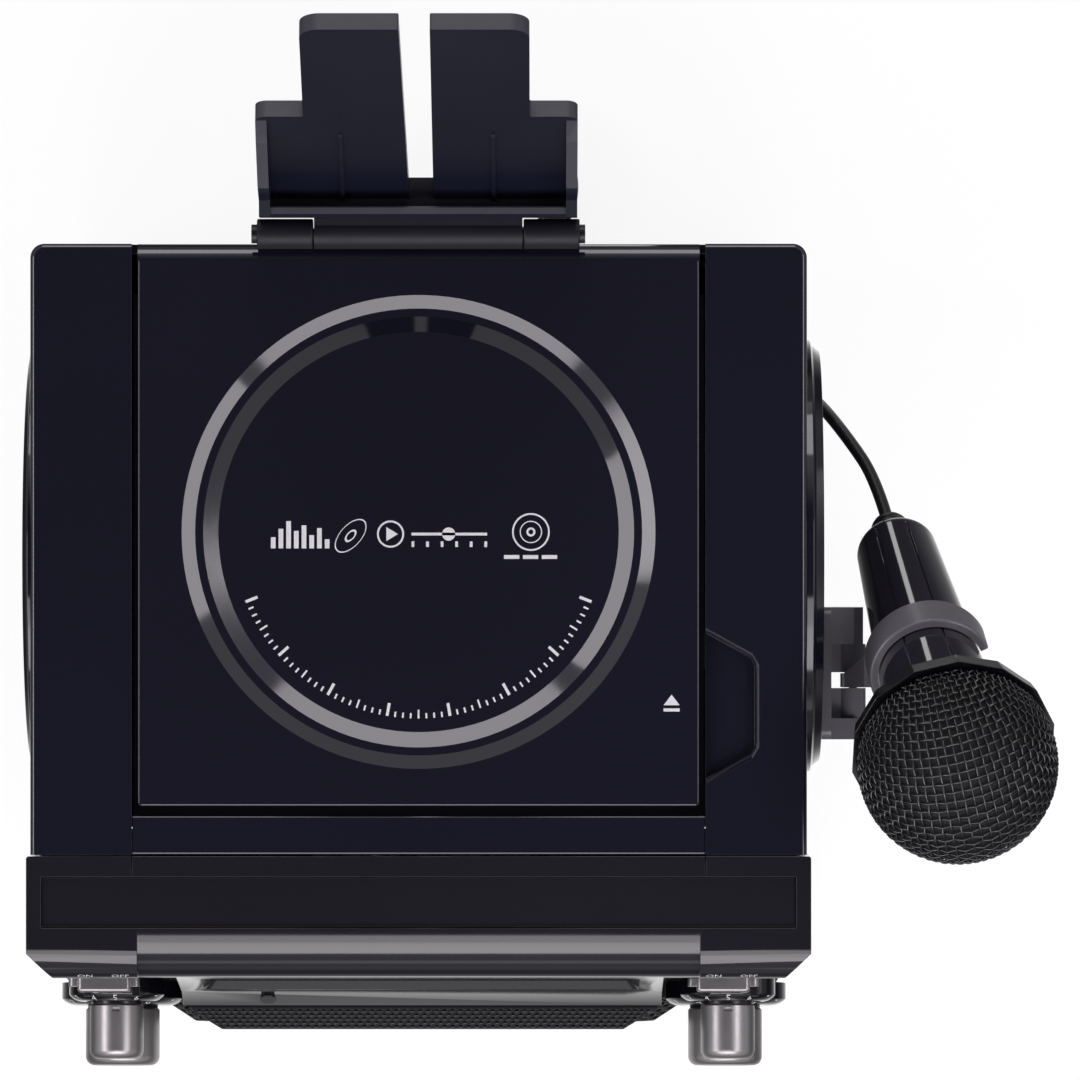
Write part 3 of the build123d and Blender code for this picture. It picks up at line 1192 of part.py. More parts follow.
def mic_plane(along):
    """The plane across the microphone at a distance from its rim towards the tail."""
    return Plane(origin=MIC_RIM + MIC_AXIS * along, x_dir=MIC_SIDE, z_dir=MIC_AXIS)


SWITCH_S = 66.0
SWITCH_R = 12.4
MOUTH_TURN = -40.0
LINE_TURN = 22.0
LINE_W = 0.6
LINE_D = 0.5
MOUTH_COS = math.cos(math.radians(MOUTH_TURN))
MOUTH_SIN = math.sin(math.radians(MOUTH_TURN))
MOUTH_SIDE = MIC_SIDE * MOUTH_COS + mic_section.z_dir * MOUTH_SIN


def switch_plane(along):
    """The flat that the slider lies on, at a distance from the rim, facing out of the handle."""
    return Plane(origin=MIC_RIM + MIC_AXIS * along + MOUTH_SIDE * SWITCH_R, x_dir=MIC_AXIS, z_dir=MOUTH_SIDE)


CUP_S = 20.0
with BuildPart() as mic_handle:
    with BuildSketch(mic_section):
        with BuildLine():
            Line((0, CUP_S), (HANDLE_HEAD_R, CUP_S))
            Line((HANDLE_HEAD_R, CUP_S), (HANDLE_HEAD_R - 0.5, CUP_S + 8))
            Spline(
                (HANDLE_HEAD_R - 0.5, CUP_S + 8),
                (HANDLE_CLIP_R, CLIP_S),
                (HANDLE_TAIL_R, MIC_LEN - 5),
                tangents=((-0.06, 1), (-0.03, 1)),
            )
            TangentArc((HANDLE_TAIL_R, MIC_LEN - 5), (HANDLE_TAIL_R - 5, MIC_LEN), tangent=(0, 1))
            Line((HANDLE_TAIL_R - 5, MIC_LEN), (0, MIC_LEN))
            Line((0, MIC_LEN), (0, CUP_S))
        make_face()
    revolve(axis=mic_axis)
    # Flat pocket for the slider, in line with the clip's mouth
    with BuildSketch(switch_plane(SWITCH_S)):
        SlotOverall(20, 8)
    extrude(amount=10, mode=Mode.SUBTRACT)
    # Two fine lines sunk along the top, from the head nearly to the tail
    for turn in (90 - LINE_TURN, 90 + LINE_TURN):
        across = MIC_SIDE * math.cos(math.radians(turn)) + mic_section.z_dir * math.sin(math.radians(turn))
        with BuildSketch(Plane(origin=MIC_RIM, x_dir=across, z_dir=across.cross(MIC_AXIS))):
            with BuildLine():
                Line((HANDLE_HEAD_R + 2, CUP_S + 1), (HANDLE_HEAD_R - LINE_D, CUP_S + 1))
                Line((HANDLE_HEAD_R - LINE_D, CUP_S + 1), (HANDLE_HEAD_R - 0.5 - LINE_D, CUP_S + 8))
                Spline(
                    (HANDLE_HEAD_R - 0.5 - LINE_D, CUP_S + 8),
                    (HANDLE_CLIP_R - LINE_D, CLIP_S),
                    (HANDLE_TAIL_R - LINE_D, MIC_LEN - 5),
                    tangents=((-0.06, 1), (-0.03, 1)),
                )
                Line((HANDLE_TAIL_R - LINE_D, MIC_LEN - 5), (HANDLE_HEAD_R + 2, MIC_LEN - 5))
                Line((HANDLE_HEAD_R + 2, MIC_LEN - 5), (HANDLE_HEAD_R + 2, CUP_S + 1))
            make_face()
        extrude(amount=LINE_W / 2, both=True, mode=Mode.SUBTRACT)
finish(mic_handle.part, "mic_handle")

SLIDER_TRAVEL = 5.0
with BuildPart() as mic_switch:
    with BuildSketch(switch_plane(SWITCH_S - SLIDER_TRAVEL / 2)):
        RectangleRounded(8, 5, 1)
    extrude(amount=2.4)
    chamfer(mic_switch.faces().sort_by(Axis(MIC_RIM, MOUTH_SIDE))[-1].edges(), 0.6)
finish(mic_switch.part, "mic_switch")

with BuildPart() as mic_rim:
    with BuildSketch(mic_plane(-2.0)):
        RegularPolygon(RIM_R, RIM_SIDES)
    with BuildSketch(mic_plane(3.4)):
        RegularPolygon(RIM_R - 1.2, RIM_SIDES)
    loft()
    with BuildSketch(mic_section):
        with BuildLine():
            Line((0, 3.4), (RIM_R - 2.4, 3.4))
            Spline((RIM_R - 2.4, 3.4), (HANDLE_HEAD_R + 4.6, 12), (HANDLE_HEAD_R, CUP_S), tangents=((-0.6, 1), (-0.2, 1)))
            Line((HANDLE_HEAD_R, CUP_S), (0, CUP_S))
            Line((0, CUP_S), (0, 3.4))
        make_face()
    revolve(axis=mic_axis)
    with BuildSketch(mic_plane(-2.0)):
        Circle(RIM_R - 3)
    extrude(amount=4, mode=Mode.SUBTRACT)
finish(mic_rim.part, "mic_rim")

MESH_T = 1.0
MESH_FOOT_S = -2.0
mesh_rise = math.degrees(math.asin((MESH_FOOT_S - MIC_BALL_S) / MIC_BALL_R))
with BuildPart() as mic_grille:
    with BuildSketch(mic_section):
        with BuildLine():
            outer = CenterArc((0, MIC_BALL_S), MIC_BALL_R, mesh_rise, -90 - mesh_rise)
            inner = CenterArc((0, MIC_BALL_S), MIC_BALL_R - MESH_T, mesh_rise, -90 - mesh_rise)
            Line(outer @ 0, inner @ 0)
            Line(outer @ 1, inner @ 1)
        make_face()
    revolve(axis=mic_axis)
finish(mic_grille.part, "mic_grille")

with BuildPart() as mic_capsule:
    with BuildSketch(mic_section):
        with BuildLine():
            Polyline((0, 2), (7, 2), (7, -4), (12.5, -6), (12.5, -19), (11, -21), (0, -21), close=True)
        make_face()
    revolve(axis=mic_axis)
finish(mic_capsule.part, "mic_capsule")

with BuildPart() as mic_relief:
    with BuildSketch(mic_section):
        with BuildLine():
            Polyline(
                (0, MIC_LEN),
                (5.4, MIC_LEN),
                (5.4, MIC_LEN + 3),
                (3.9, MIC_LEN + 3.6),
                (3.0, MIC_LEN + RELIEF_LEN),
                (0, MIC_LEN + RELIEF_LEN),
                close=True,
            )
        make_face()
    revolve(axis=mic_axis)
finish(mic_relief.part, "mic_relief")

# ---- Microphone holder: bracket on the side cap, clip arm with a sprung open ring, pin
HOLDER_X = CABINET_X + CAP_PROUD
HOLDER_PIN_X = HOLDER_X + 9.5
HOLDER_PIN_Z = TOP_Z - 50.0
HOLDER_PIN_R = 1.2
HOLDER_BARREL_R = 3.7
HOLDER_REAR_Y = 1.1
HOLDER_FRONT_Y = -37.2
HOLDER_OUT_X = HOLDER_X + 11.2
HOLDER_PLATE_T = 3.0
ARM_REAR_Y = -17.8
ARM_FRONT_Y = -22.4
with BuildPart() as mic_bracket:
    with BuildSketch(Plane.YZ.offset(HOLDER_X)):
        with Locations(((HOLDER_REAR_Y + HOLDER_FRONT_Y) / 2, HOLDER_PIN_Z - 3)):
            RectangleRounded(HOLDER_REAR_Y - HOLDER_FRONT_Y, 24, 3)
    extrude(amount=HOLDER_PLATE_T)
    for rear, front in ((HOLDER_REAR_Y, -9.6), (-31.1, HOLDER_FRONT_Y)):
        with BuildSketch(Plane.XZ.offset(-rear)):
            with BuildLine():
                Polyline(
                    (HOLDER_X, HOLDER_PIN_Z - 12),
                    (HOLDER_X, HOLDER_PIN_Z + 6.5),
                    (HOLDER_OUT_X - 1.5, HOLDER_PIN_Z + 5.0),
                    (HOLDER_OUT_X + 1.2, HOLDER_PIN_Z + 1.5),
                    (HOLDER_OUT_X + 1.2, HOLDER_PIN_Z - 2.5),
                    (HOLDER_OUT_X - 2.5, HOLDER_PIN_Z - 5.5),
                    close=True,
                )
            make_face()
        extrude(amount=rear - front)
    for rear, front in ((-9.6, ARM_REAR_Y), (ARM_FRONT_Y, -31.1)):
        with BuildSketch(Plane.XZ.offset(-rear)):
            with Locations((HOLDER_PIN_X, HOLDER_PIN_Z)):
                Circle(HOLDER_BARREL_R)
            with Locations(((HOLDER_X + HOLDER_PIN_X) / 2, HOLDER_PIN_Z)):
                Rectangle(HOLDER_PIN_X - HOLDER_X, 2.4)
        extrude(amount=rear - front)
    with BuildSketch(Plane.XZ.offset(-HOLDER_REAR_Y - 1)):
        with Locations((HOLDER_PIN_X, HOLDER_PIN_Z)):
            Circle(HOLDER_PIN_R)
    extrude(amount=HOLDER_REAR_Y - HOLDER_FRONT_Y + 2, mode=Mode.SUBTRACT)
finish(mic_bracket.part, "mic_bracket")

CLIP_LEN = 10.8
CLIP_T = 2.4
CLIP_BORE_R = HANDLE_CLIP_R + 0.6
CLIP_MOUTH = 103.0
MOUTH_REACH = 2 * (CLIP_BORE_R + CLIP_T)
ARM_Y = (ARM_REAR_Y + ARM_FRONT_Y) / 2
ARM_FOOT_Z = HOLDER_PIN_Z + 7.0
clip_flank = MIC_RIM + MIC_AXIS * CLIP_S - MIC_SIDE * (CLIP_BORE_R + CLIP_T / 2)
with BuildPart() as mic_clip:
    with BuildSketch(mic_plane(CLIP_S - CLIP_LEN / 2)):
        Circle(CLIP_BORE_R + CLIP_T)
    extrude(amount=CLIP_LEN)
    fillet(mic_clip.edges(), 0.7)
    # Knuckle between the bracket's barrels
    with BuildSketch(Plane.XZ.offset(-ARM_REAR_Y + FIT)):
        with Locations((HOLDER_PIN_X, HOLDER_PIN_Z)):
            Circle(HOLDER_BARREL_R)
        with BuildLine():
            Polyline(
                (HOLDER_PIN_X - 3.2, HOLDER_PIN_Z),
                (HOLDER_PIN_X - 3.2, ARM_FOOT_Z + 1),
                (HOLDER_PIN_X + 3.6, ARM_FOOT_Z + 1),
                (HOLDER_PIN_X + 3.6, HOLDER_PIN_Z),
                close=True,
            )
        make_face()
        with Locations((HOLDER_PIN_X, HOLDER_PIN_Z)):
            Circle(HOLDER_PIN_R, mode=Mode.SUBTRACT)
    extrude(amount=ARM_REAR_Y - ARM_FRONT_Y - 2 * FIT)
    # Arm that widens up to the ring's flank
    with BuildSketch(Plane.XY.offset(ARM_FOOT_Z)):
        with Locations((HOLDER_PIN_X + 0.2, ARM_Y)):
            Rectangle(6.4, ARM_REAR_Y - ARM_FRONT_Y - 2 * FIT)
    with BuildSketch(Plane.XY.offset(clip_flank.Z - 2)):
        with Locations((clip_flank.X - 0.2, clip_flank.Y + 1.0)):
            Rectangle(CLIP_T + 1.6, 9.0)
    loft()
    with BuildSketch(mic_plane(CLIP_S - 30)):
        Circle(CLIP_BORE_R)
    extrude(amount=60, mode=Mode.SUBTRACT)
    # Mouth at the lower side away from the arm
    with BuildSketch(mic_plane(CLIP_S - CLIP_LEN)):
        with BuildLine():
            Polyline(
                (0, 0),
                (
                    MOUTH_REACH * math.cos(math.radians(-MOUTH_TURN - CLIP_MOUTH / 2)),
                    MOUTH_REACH * math.sin(math.radians(-MOUTH_TURN - CLIP_MOUTH / 2)),
                ),
                (
                    MOUTH_REACH * math.cos(math.radians(-MOUTH_TURN + CLIP_MOUTH / 2)),
                    MOUTH_REACH * math.sin(math.radians(-MOUTH_TURN + CLIP_MOUTH / 2)),
                ),
                close=True,
            )
        make_face()
    extrude(amount=2 * CLIP_LEN, mode=Mode.SUBTRACT)
finish(mic_clip.part, "mic_clip")

# ---- Hinge pins: lid, cradle with its two end caps, and microphone clip
PIN_CAP_T = 1.6
PIN_CAP_R = CRADLE_PIN_R + 1.2
with BuildPart() as hinge_pins:
    with BuildSketch(Plane.YZ.offset(-RIB_X - RIB_T / 2)):
        with Locations((PIN_Y, PIN_Z)):
            Circle(LID_PIN_R)
    extrude(amount=2 * RIB_X + RIB_T)
    with BuildSketch(Plane.YZ.offset(-CRADLE_X)):
        with Locations((CRADLE_PIN_Y, CRADLE_PIN_Z)):
            Circle(CRADLE_PIN_R)
    extrude(amount=2 * CRADLE_X)
    for start in (-CRADLE_X - PIN_CAP_T, CRADLE_X):
        with BuildSketch(Plane.YZ.offset(start)):
            with Locations((CRADLE_PIN_Y, CRADLE_PIN_Z)):
                Circle(PIN_CAP_R)
        extrude(amount=PIN_CAP_T)
    with BuildSketch(Plane.XZ.offset(-HOLDER_REAR_Y)):
        with Locations((HOLDER_PIN_X, HOLDER_PIN_Z)):
            Circle(HOLDER_PIN_R)
    extrude(amount=HOLDER_REAR_Y - HOLDER_FRONT_Y)
finish(hinge_pins.part, "hinge_pins")

# ---- Microphone cord: down the right wall, round the rear corner, into a coil behind the cabinet
COIL_R = 18.5
COIL_Y = REAR_Y + 25.7
COIL_X = 24.5
COIL_LAYERS = 5
LIE_Z = CORD_R + 0.25
CORD_START = MIC_RIM + MIC_AXIS * (MIC_LEN + RELIEF_LEN)
CORD_ROUTE = [
    CORD_START,
    CORD_START + MIC_AXIS * 24.0,
    Vector(CABINET_X + 15.4, 50.8, TOP_Z - 124.0),
    Vector(CABINET_X + 8.2, 60.6, TOP_Z - 144.0),
    Vector(CABINET_X + 4.0, 65.0, TOP_Z - 170.0),
    Vector(CABINET_X + 3.7, 66.0, 98.0),
    Vector(CABINET_X + 3.6, 66.4, 64.0),
    Vector(CABINET_X + 3.6, 67.6, 33.0),
    Vector(CABINET_X + 3.6, 72.0, LIE_Z),
    Vector(CABINET_X + 3.6, REAR_Y + 4.5, LIE_Z),
    Vector(82.0, REAR_Y + 4.7, LIE_Z),
    Vector(54.0, REAR_Y + 5.7, LIE_Z),
    Vector(COIL_X + 5.0, COIL_Y - COIL_R, LIE_Z),
]


def bend_radii(points):
    """The largest arcs that the runs allow, one for each inner point."""
    radii = []
    for before, here, after in zip(points, points[1:], points[2:]):
        turn = math.radians((here - before).get_angle(after - here))
        shorter = min((here - before).length, (after - here).length)
        radii.append(0.45 * shorter / math.tan(turn / 2))
    return radii


cord_radii = bend_radii(CORD_ROUTE)
print("cord radii", [round(r, 1) for r in cord_radii])
with BuildPart() as mic_cord:
    with BuildLine() as cord_path:
        FilletPolyline(*CORD_ROUTE, radius=cord_radii)
    with BuildSketch(Plane(origin=CORD_START, z_dir=MIC_AXIS)):
        Circle(CORD_R)
    sweep(path=cord_path.line)
cord_length = sum(edge.length for edge in cord_path.line.edges())
print("cord length", cord_length, "volume ratio", mic_cord.part.volume / (math.pi * CORD_R**2 * cord_length))
finish(mic_cord.part, "mic_cord")

with BuildPart() as mic_cord_coil:
    with BuildSketch(Plane.XY.offset(LIE_Z - CORD_R)):
        with Locations((COIL_X, COIL_Y)):
            Circle(COIL_R + 2 * CORD_R)
            Circle(COIL_R - 2 * CORD_R, mode=Mode.SUBTRACT)
    extrude(amount=2 * CORD_R * COIL_LAYERS)
    fillet(mic_cord_coil.edges(), CORD_R * 0.8)
finish(mic_cord_coil.part, "mic_cord_coil")

PLUG_TAIL = Vector(-1.0, REAR_Y + 8.1, LIE_Z + 2 * CORD_R)
PLUG_AXIS = Vector(-1.0, -0.044, 0.0).normalized()
PLUG_R = 5.5
PLUG_BODY_LEN = 24.0
JACK_LEN = 30.0
with BuildPart() as mic_cord_end:
    with BuildSketch(Plane(origin=PLUG_TAIL - PLUG_AXIS * 19.0, z_dir=PLUG_AXIS)):
        Circle(CORD_R)
    extrude(amount=19.0)
finish(mic_cord_end.part, "mic_cord_end")

plug_section = Plane(origin=PLUG_TAIL, x_dir=(0, 0, 1), z_dir=Vector(0, 0, 1).cross(PLUG_AXIS))
with BuildPart() as mic_plug:
    with BuildSketch(plug_section):
        with BuildLine():
            Polyline(
                (0, 0),
                (3.0, 0),
                (3.4, 5),
                (PLUG_R, 7),
                (PLUG_R, PLUG_BODY_LEN),
                (3.17, PLUG_BODY_LEN),
                (3.17, PLUG_BODY_LEN + JACK_LEN - 9),
                (2.7, PLUG_BODY_LEN + JACK_LEN - 8.4),
                (2.7, PLUG_BODY_LEN + JACK_LEN - 7.6),
                (3.17, PLUG_BODY_LEN + JACK_LEN - 7),
                (2.1, PLUG_BODY_LEN + JACK_LEN - 4),
                (2.6, PLUG_BODY_LEN + JACK_LEN - 2),
                (0.6, PLUG_BODY_LEN + JACK_LEN),
                (0, PLUG_BODY_LEN + JACK_LEN),
                close=True,
            )
        make_face()
    revolve(axis=Axis(PLUG_TAIL, PLUG_AXIS))
finish(mic_plug.part, "mic_plug")
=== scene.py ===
import json
import math

import bmesh
import bpy
import numpy as np
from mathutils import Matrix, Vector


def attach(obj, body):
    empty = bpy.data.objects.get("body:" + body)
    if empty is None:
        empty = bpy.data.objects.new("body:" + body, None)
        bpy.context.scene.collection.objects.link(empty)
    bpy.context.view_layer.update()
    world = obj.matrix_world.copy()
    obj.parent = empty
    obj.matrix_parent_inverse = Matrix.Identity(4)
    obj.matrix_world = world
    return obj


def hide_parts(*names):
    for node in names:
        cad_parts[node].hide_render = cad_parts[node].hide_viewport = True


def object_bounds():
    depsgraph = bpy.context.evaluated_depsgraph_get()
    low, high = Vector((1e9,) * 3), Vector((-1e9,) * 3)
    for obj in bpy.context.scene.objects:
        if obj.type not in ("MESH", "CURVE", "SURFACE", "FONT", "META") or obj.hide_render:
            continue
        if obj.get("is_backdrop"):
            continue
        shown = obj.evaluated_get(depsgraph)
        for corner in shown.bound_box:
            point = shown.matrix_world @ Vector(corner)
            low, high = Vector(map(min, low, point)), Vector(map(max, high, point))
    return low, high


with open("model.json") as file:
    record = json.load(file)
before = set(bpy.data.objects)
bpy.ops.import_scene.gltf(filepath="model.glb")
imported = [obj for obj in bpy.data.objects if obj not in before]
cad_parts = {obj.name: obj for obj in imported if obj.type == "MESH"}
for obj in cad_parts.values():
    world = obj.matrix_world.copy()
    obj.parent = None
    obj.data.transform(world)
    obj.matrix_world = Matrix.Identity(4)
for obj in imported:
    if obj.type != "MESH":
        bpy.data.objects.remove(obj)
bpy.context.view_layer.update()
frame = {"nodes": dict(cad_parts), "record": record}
MM = 0.001

# ---- Camera: straight above the lid with a long lens, a little right of the cabinet's middle and
# a little behind it.
camera_data = bpy.data.cameras.new("camera")
camera_data.lens = 350
camera_data.sensor_width = 36
camera_data.clip_start = 0.05
camera_data.clip_end = 80
camera = bpy.data.objects.new("camera", camera_data)
camera.location = (0.0347, 0.0206, 3.300)
bpy.context.scene.collection.objects.link(camera)
bpy.context.scene.camera = camera
bpy.context.scene.view_settings.view_transform = "Standard"

# ---- Room light: a white horizon, a pale band at half height and a dark ceiling, so that flat gloss
# stays black and its slopes shine, and a dim even light for what is matt.
AMBIENT = 0.10
SKY_STOPS = ((0.08, 1.0), (0.20, 0.30), (0.50, 0.50), (0.64, 0.80), (0.78, 0.45), (0.90, 0.05))


def math_node(tree, operation, *values):
    """A Math node's output; each value is a number or another node's output."""
    node = tree.nodes.new("ShaderNodeMath")
    node.operation = operation
    for index, value in enumerate(values):
        if isinstance(value, (int, float)):
            node.inputs[index].default_value = value
        else:
            tree.links.new(value, node.inputs[index])
    return node.outputs[0]


def grey_ramp(tree, source, first, stops, last):
    """A ramp of greys from one level at 0, over stops of (place, level), to another at 1."""
    node = tree.nodes.new("ShaderNodeValToRGB")
    for place, level in stops:
        node.color_ramp.elements.new(place).color = (level, level, level, 1)
    node.color_ramp.elements[0].color = (first, first, first, 1)
    node.color_ramp.elements[-1].color = (last, last, last, 1)
    tree.links.new(source, node.inputs["Fac"])
    return node.outputs["Color"]


world = bpy.data.worlds.new("studio")
bpy.context.scene.world = world
world.use_nodes = True
sky = world.node_tree
sky.nodes.clear()
direction = sky.nodes.new("ShaderNodeTexCoord")
height = sky.nodes.new("ShaderNodeSeparateXYZ")
sky.links.new(direction.outputs["Generated"], height.inputs[0])
fall = grey_ramp(sky, height.outputs["Z"], 1.0, SKY_STOPS, 0.03)
rays = sky.nodes.new("ShaderNodeLightPath").outputs
seen = math_node(sky, "MAXIMUM", rays["Is Camera Ray"], rays["Is Glossy Ray"])
seen = math_node(sky, "MAXIMUM", seen, rays["Is Transmission Ray"])
strength = sky.nodes.new("ShaderNodeMix")
strength.data_type = "FLOAT"
strength.inputs["A"].default_value = AMBIENT
sky.links.new(seen, strength.inputs["Factor"])
sky.links.new(fall, strength.inputs["B"])
background = sky.nodes.new("ShaderNodeBackground")
background.inputs["Color"].default_value = (1.0, 1.0, 1.0, 1)
sky.links.new(strength.outputs["Result"], background.inputs["Strength"])
surroundings = sky.nodes.new("ShaderNodeOutputWorld")
sky.links.new(background.outputs[0], surroundings.inputs["Surface"])
AIM_Z = 0.3


def softbox(name, azimuth, high, low, width, distance, radiance, colour=(1.0, 0.955, 1.0)):
    """A flat lamp that faces the top of the object.

    Azimuth is where it stands, in degrees from +X. High and low are its edges, in degrees from
    straight up. Its local X is its height, so that the width runs level.
    """
    middle = math.radians((high + low) / 2)
    tall = 2 * distance * math.tan(math.radians(low - high) / 2)
    lamp = bpy.data.lights.new(name, "AREA")
    lamp.shape = "RECTANGLE"
    lamp.size, lamp.size_y = tall, width
    lamp.color = colour
    lamp.energy = radiance * math.pi * width * tall
    holder = bpy.data.objects.new(name, lamp)
    a = math.radians(azimuth)
    holder.location = (
        distance * math.sin(middle) * math.cos(a),
        distance * math.sin(middle) * math.sin(a),
        AIM_Z + distance * math.cos(middle),
    )
    holder.rotation_euler = (0, middle, a)
    holder.visible_camera = False
    bpy.context.scene.collection.objects.link(holder)


softbox("front_lamp", -90, 38, 64, 1.6, 1.25, 4.4)
softbox("brow_lamp", -90, 22, 38, 0.5, 1.25, 3.2)
softbox("left_lamp", 190, 47, 62, 1.6, 2.5, 6.0)
softbox("right_lamp", -8, 38, 54, 0.9, 1.1, 4.5)
softbox("rear_lamp", 90, 57, 82, 0.7, 1.3, 4.0)

# A narrow lamp low behind draws the bright line along the microphone
STRIP_W, STRIP_H, STRIP_RADIANCE = 0.052, 0.10, 3.6
strip = bpy.data.lights.new("strip_lamp", "AREA")
strip.shape = "RECTANGLE"
strip.size, strip.size_y = STRIP_W, STRIP_H
strip.energy = STRIP_RADIANCE * math.pi * STRIP_W * STRIP_H
strip_holder = bpy.data.objects.new("strip_lamp", strip)
strip_holder.location = (0.045, 0.40, 0.055)
strip_holder.rotation_euler = (math.radians(-90), 0, 0)
strip_holder.visible_camera = False
bpy.context.scene.collection.objects.link(strip_holder)

# ---- Floor: a plain pale sheet that keeps a faint shadow. The camera sees it white. A mirror sees
# it bright near the object and dark further off.
FLOOR_STOPS = ((0.20, 1.0), (0.295, 0.30), (0.42, 0.06), (0.62, 0.06))
FLOOR_WHITE = 0.86
bpy.ops.mesh.primitive_plane_add(size=80)
floor = bpy.context.object
floor.name = "floor"
floor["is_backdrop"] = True
paper = bpy.data.materials.new("pale_floor")
paper.use_nodes = True
sheet = paper.node_tree
sheet.nodes.clear()
rays = sheet.nodes.new("ShaderNodeLightPath").outputs
mirrored = math_node(sheet, "MAXIMUM", rays["Is Glossy Ray"], rays["Is Transmission Ray"])
matt_tone = sheet.nodes.new("ShaderNodeMix")
matt_tone.data_type = "RGBA"
matt_tone.inputs["A"].default_value = (0.2, 0.2, 0.2, 1)
matt_tone.inputs["B"].default_value = (0, 0, 0, 1)
sheet.links.new(mirrored, matt_tone.inputs["Factor"])
matt = sheet.nodes.new("ShaderNodeBsdfDiffuse")
sheet.links.new(matt_tone.outputs["Result"], matt.inputs["Color"])
place = sheet.nodes.new("ShaderNodeTexCoord")
far = sheet.nodes.new("ShaderNodeVectorMath")
far.operation = "LENGTH"
sheet.links.new(place.outputs["Object"], far.inputs[0])
near_shine = grey_ramp(sheet, far.outputs["Value"], 1.0, FLOOR_STOPS, 0.3)
shine = math_node(sheet, "MULTIPLY", near_shine, mirrored)
glow = sheet.nodes.new("ShaderNodeEmission")
white_glow = math_node(sheet, "MULTIPLY_ADD", rays["Is Camera Ray"], FLOOR_WHITE, shine)
sheet.links.new(white_glow, glow.inputs["Strength"])
both = sheet.nodes.new("ShaderNodeAddShader")
sheet.links.new(matt.outputs[0], both.inputs[0])
sheet.links.new(glow.outputs[0], both.inputs[1])
out = sheet.nodes.new("ShaderNodeOutputMaterial")
sheet.links.new(both.outputs[0], out.inputs["Surface"])
floor.data.materials.append(paper)


# ---- Microphone cord: black PVC, 3.7 mm thick. It leaves the relief, hangs down the right wall,
# goes round the rear corner on the floor and ends in a neat coil with its jack plug behind the cabinet.
def socket(group, name, kind, way, value=None):
    """One named input or output of a shader node group."""
    made = group.interface.new_socket(name=name, in_out=way, socket_type=kind)
    if value is not None:
        made.default_value = value
    return made


def mottle_group():
    """Soft cloudy variation from detailed noise: Value = 1 + Contrast * (noise - 0.5) * 2."""
    group = bpy.data.node_groups.new("mottle", "ShaderNodeTree")
    socket(group, "Scale", "NodeSocketFloat", "INPUT", 20.0)
    socket(group, "Contrast", "NodeSocketFloat", "INPUT", 0.2)
    socket(group, "Value", "NodeSocketFloat", "OUTPUT")
    entry, leave = group.nodes.new("NodeGroupInput"), group.nodes.new("NodeGroupOutput")
    place = group.nodes.new("ShaderNodeTexCoord")
    noise = group.nodes.new("ShaderNodeTexNoise")
    noise.inputs["Detail"].default_value = 3
    group.links.new(place.outputs["Object"], noise.inputs["Vector"])
    group.links.new(entry.outputs["Scale"], noise.inputs["Scale"])
    centred = math_node(group, "SUBTRACT", noise.outputs["Fac"], 0.5)
    scaled = math_node(group, "MULTIPLY", centred, entry.outputs["Contrast"])
    group.links.new(math_node(group, "MULTIPLY_ADD", scaled, 2.0, 1.0), leave.inputs["Value"])
    return group


def dust_group():
    """Fine dust: 1 where a Voronoi cell's middle is nearer than Size, else 0; coarse noise clears parts."""
    group = bpy.data.node_groups.new("dust", "ShaderNodeTree")
    socket(group, "Scale", "NodeSocketFloat", "INPUT", 300.0)
    socket(group, "Size", "NodeSocketFloat", "INPUT", 0.08)
    socket(group, "Mask", "NodeSocketFloat", "OUTPUT")
    entry, leave = group.nodes.new("NodeGroupInput"), group.nodes.new("NodeGroupOutput")
    place = group.nodes.new("ShaderNodeTexCoord")
    cells = group.nodes.new("ShaderNodeTexVoronoi")
    group.links.new(place.outputs["Object"], cells.inputs["Vector"])
    group.links.new(entry.outputs["Scale"], cells.inputs["Scale"])
    speck = math_node(group, "LESS_THAN", cells.outputs["Distance"], entry.outputs["Size"])
    patches = group.nodes.new("ShaderNodeTexNoise")
    patches.inputs["Scale"].default_value = 22
    group.links.new(place.outputs["Object"], patches.inputs["Vector"])
    kept = math_node(group, "GREATER_THAN", patches.outputs["Fac"], 0.52)
    group.links.new(math_node(group, "MULTIPLY", speck, kept), leave.inputs["Mask"])
    return group


def grain_group():
    """Moulded or blasted grain: fine noise as a height for a Bump node, with some coarse waviness mixed in."""
    group = bpy.data.node_groups.new("grain", "ShaderNodeTree")
    socket(group, "Scale", "NodeSocketFloat", "INPUT", 900.0)
    socket(group, "Waviness", "NodeSocketFloat", "INPUT", 0.3)
    socket(group, "Height", "NodeSocketFloat", "OUTPUT")
    entry, leave = group.nodes.new("NodeGroupInput"), group.nodes.new("NodeGroupOutput")
    place = group.nodes.new("ShaderNodeTexCoord")
    fine = group.nodes.new("ShaderNodeTexNoise")
    fine.inputs["Detail"].default_value = 2
    coarse = group.nodes.new("ShaderNodeTexNoise")
    coarse.inputs["Scale"].default_value = 60
    for noise in (fine, coarse):
        group.links.new(place.outputs["Object"], noise.inputs["Vector"])
    group.links.new(entry.outputs["Scale"], fine.inputs["Scale"])
    blend = group.nodes.new("ShaderNodeMix")
    blend.data_type = "FLOAT"
    group.links.new(entry.outputs["Waviness"], blend.inputs["Factor"])
    group.links.new(fine.outputs["Fac"], blend.inputs["A"])
    group.links.new(coarse.outputs["Fac"], blend.inputs["B"])
    group.links.new(blend.outputs["Result"], leave.inputs["Height"])
    return group


GROUPS = {"mottle": mottle_group(), "dust": dust_group(), "grain": grain_group()}


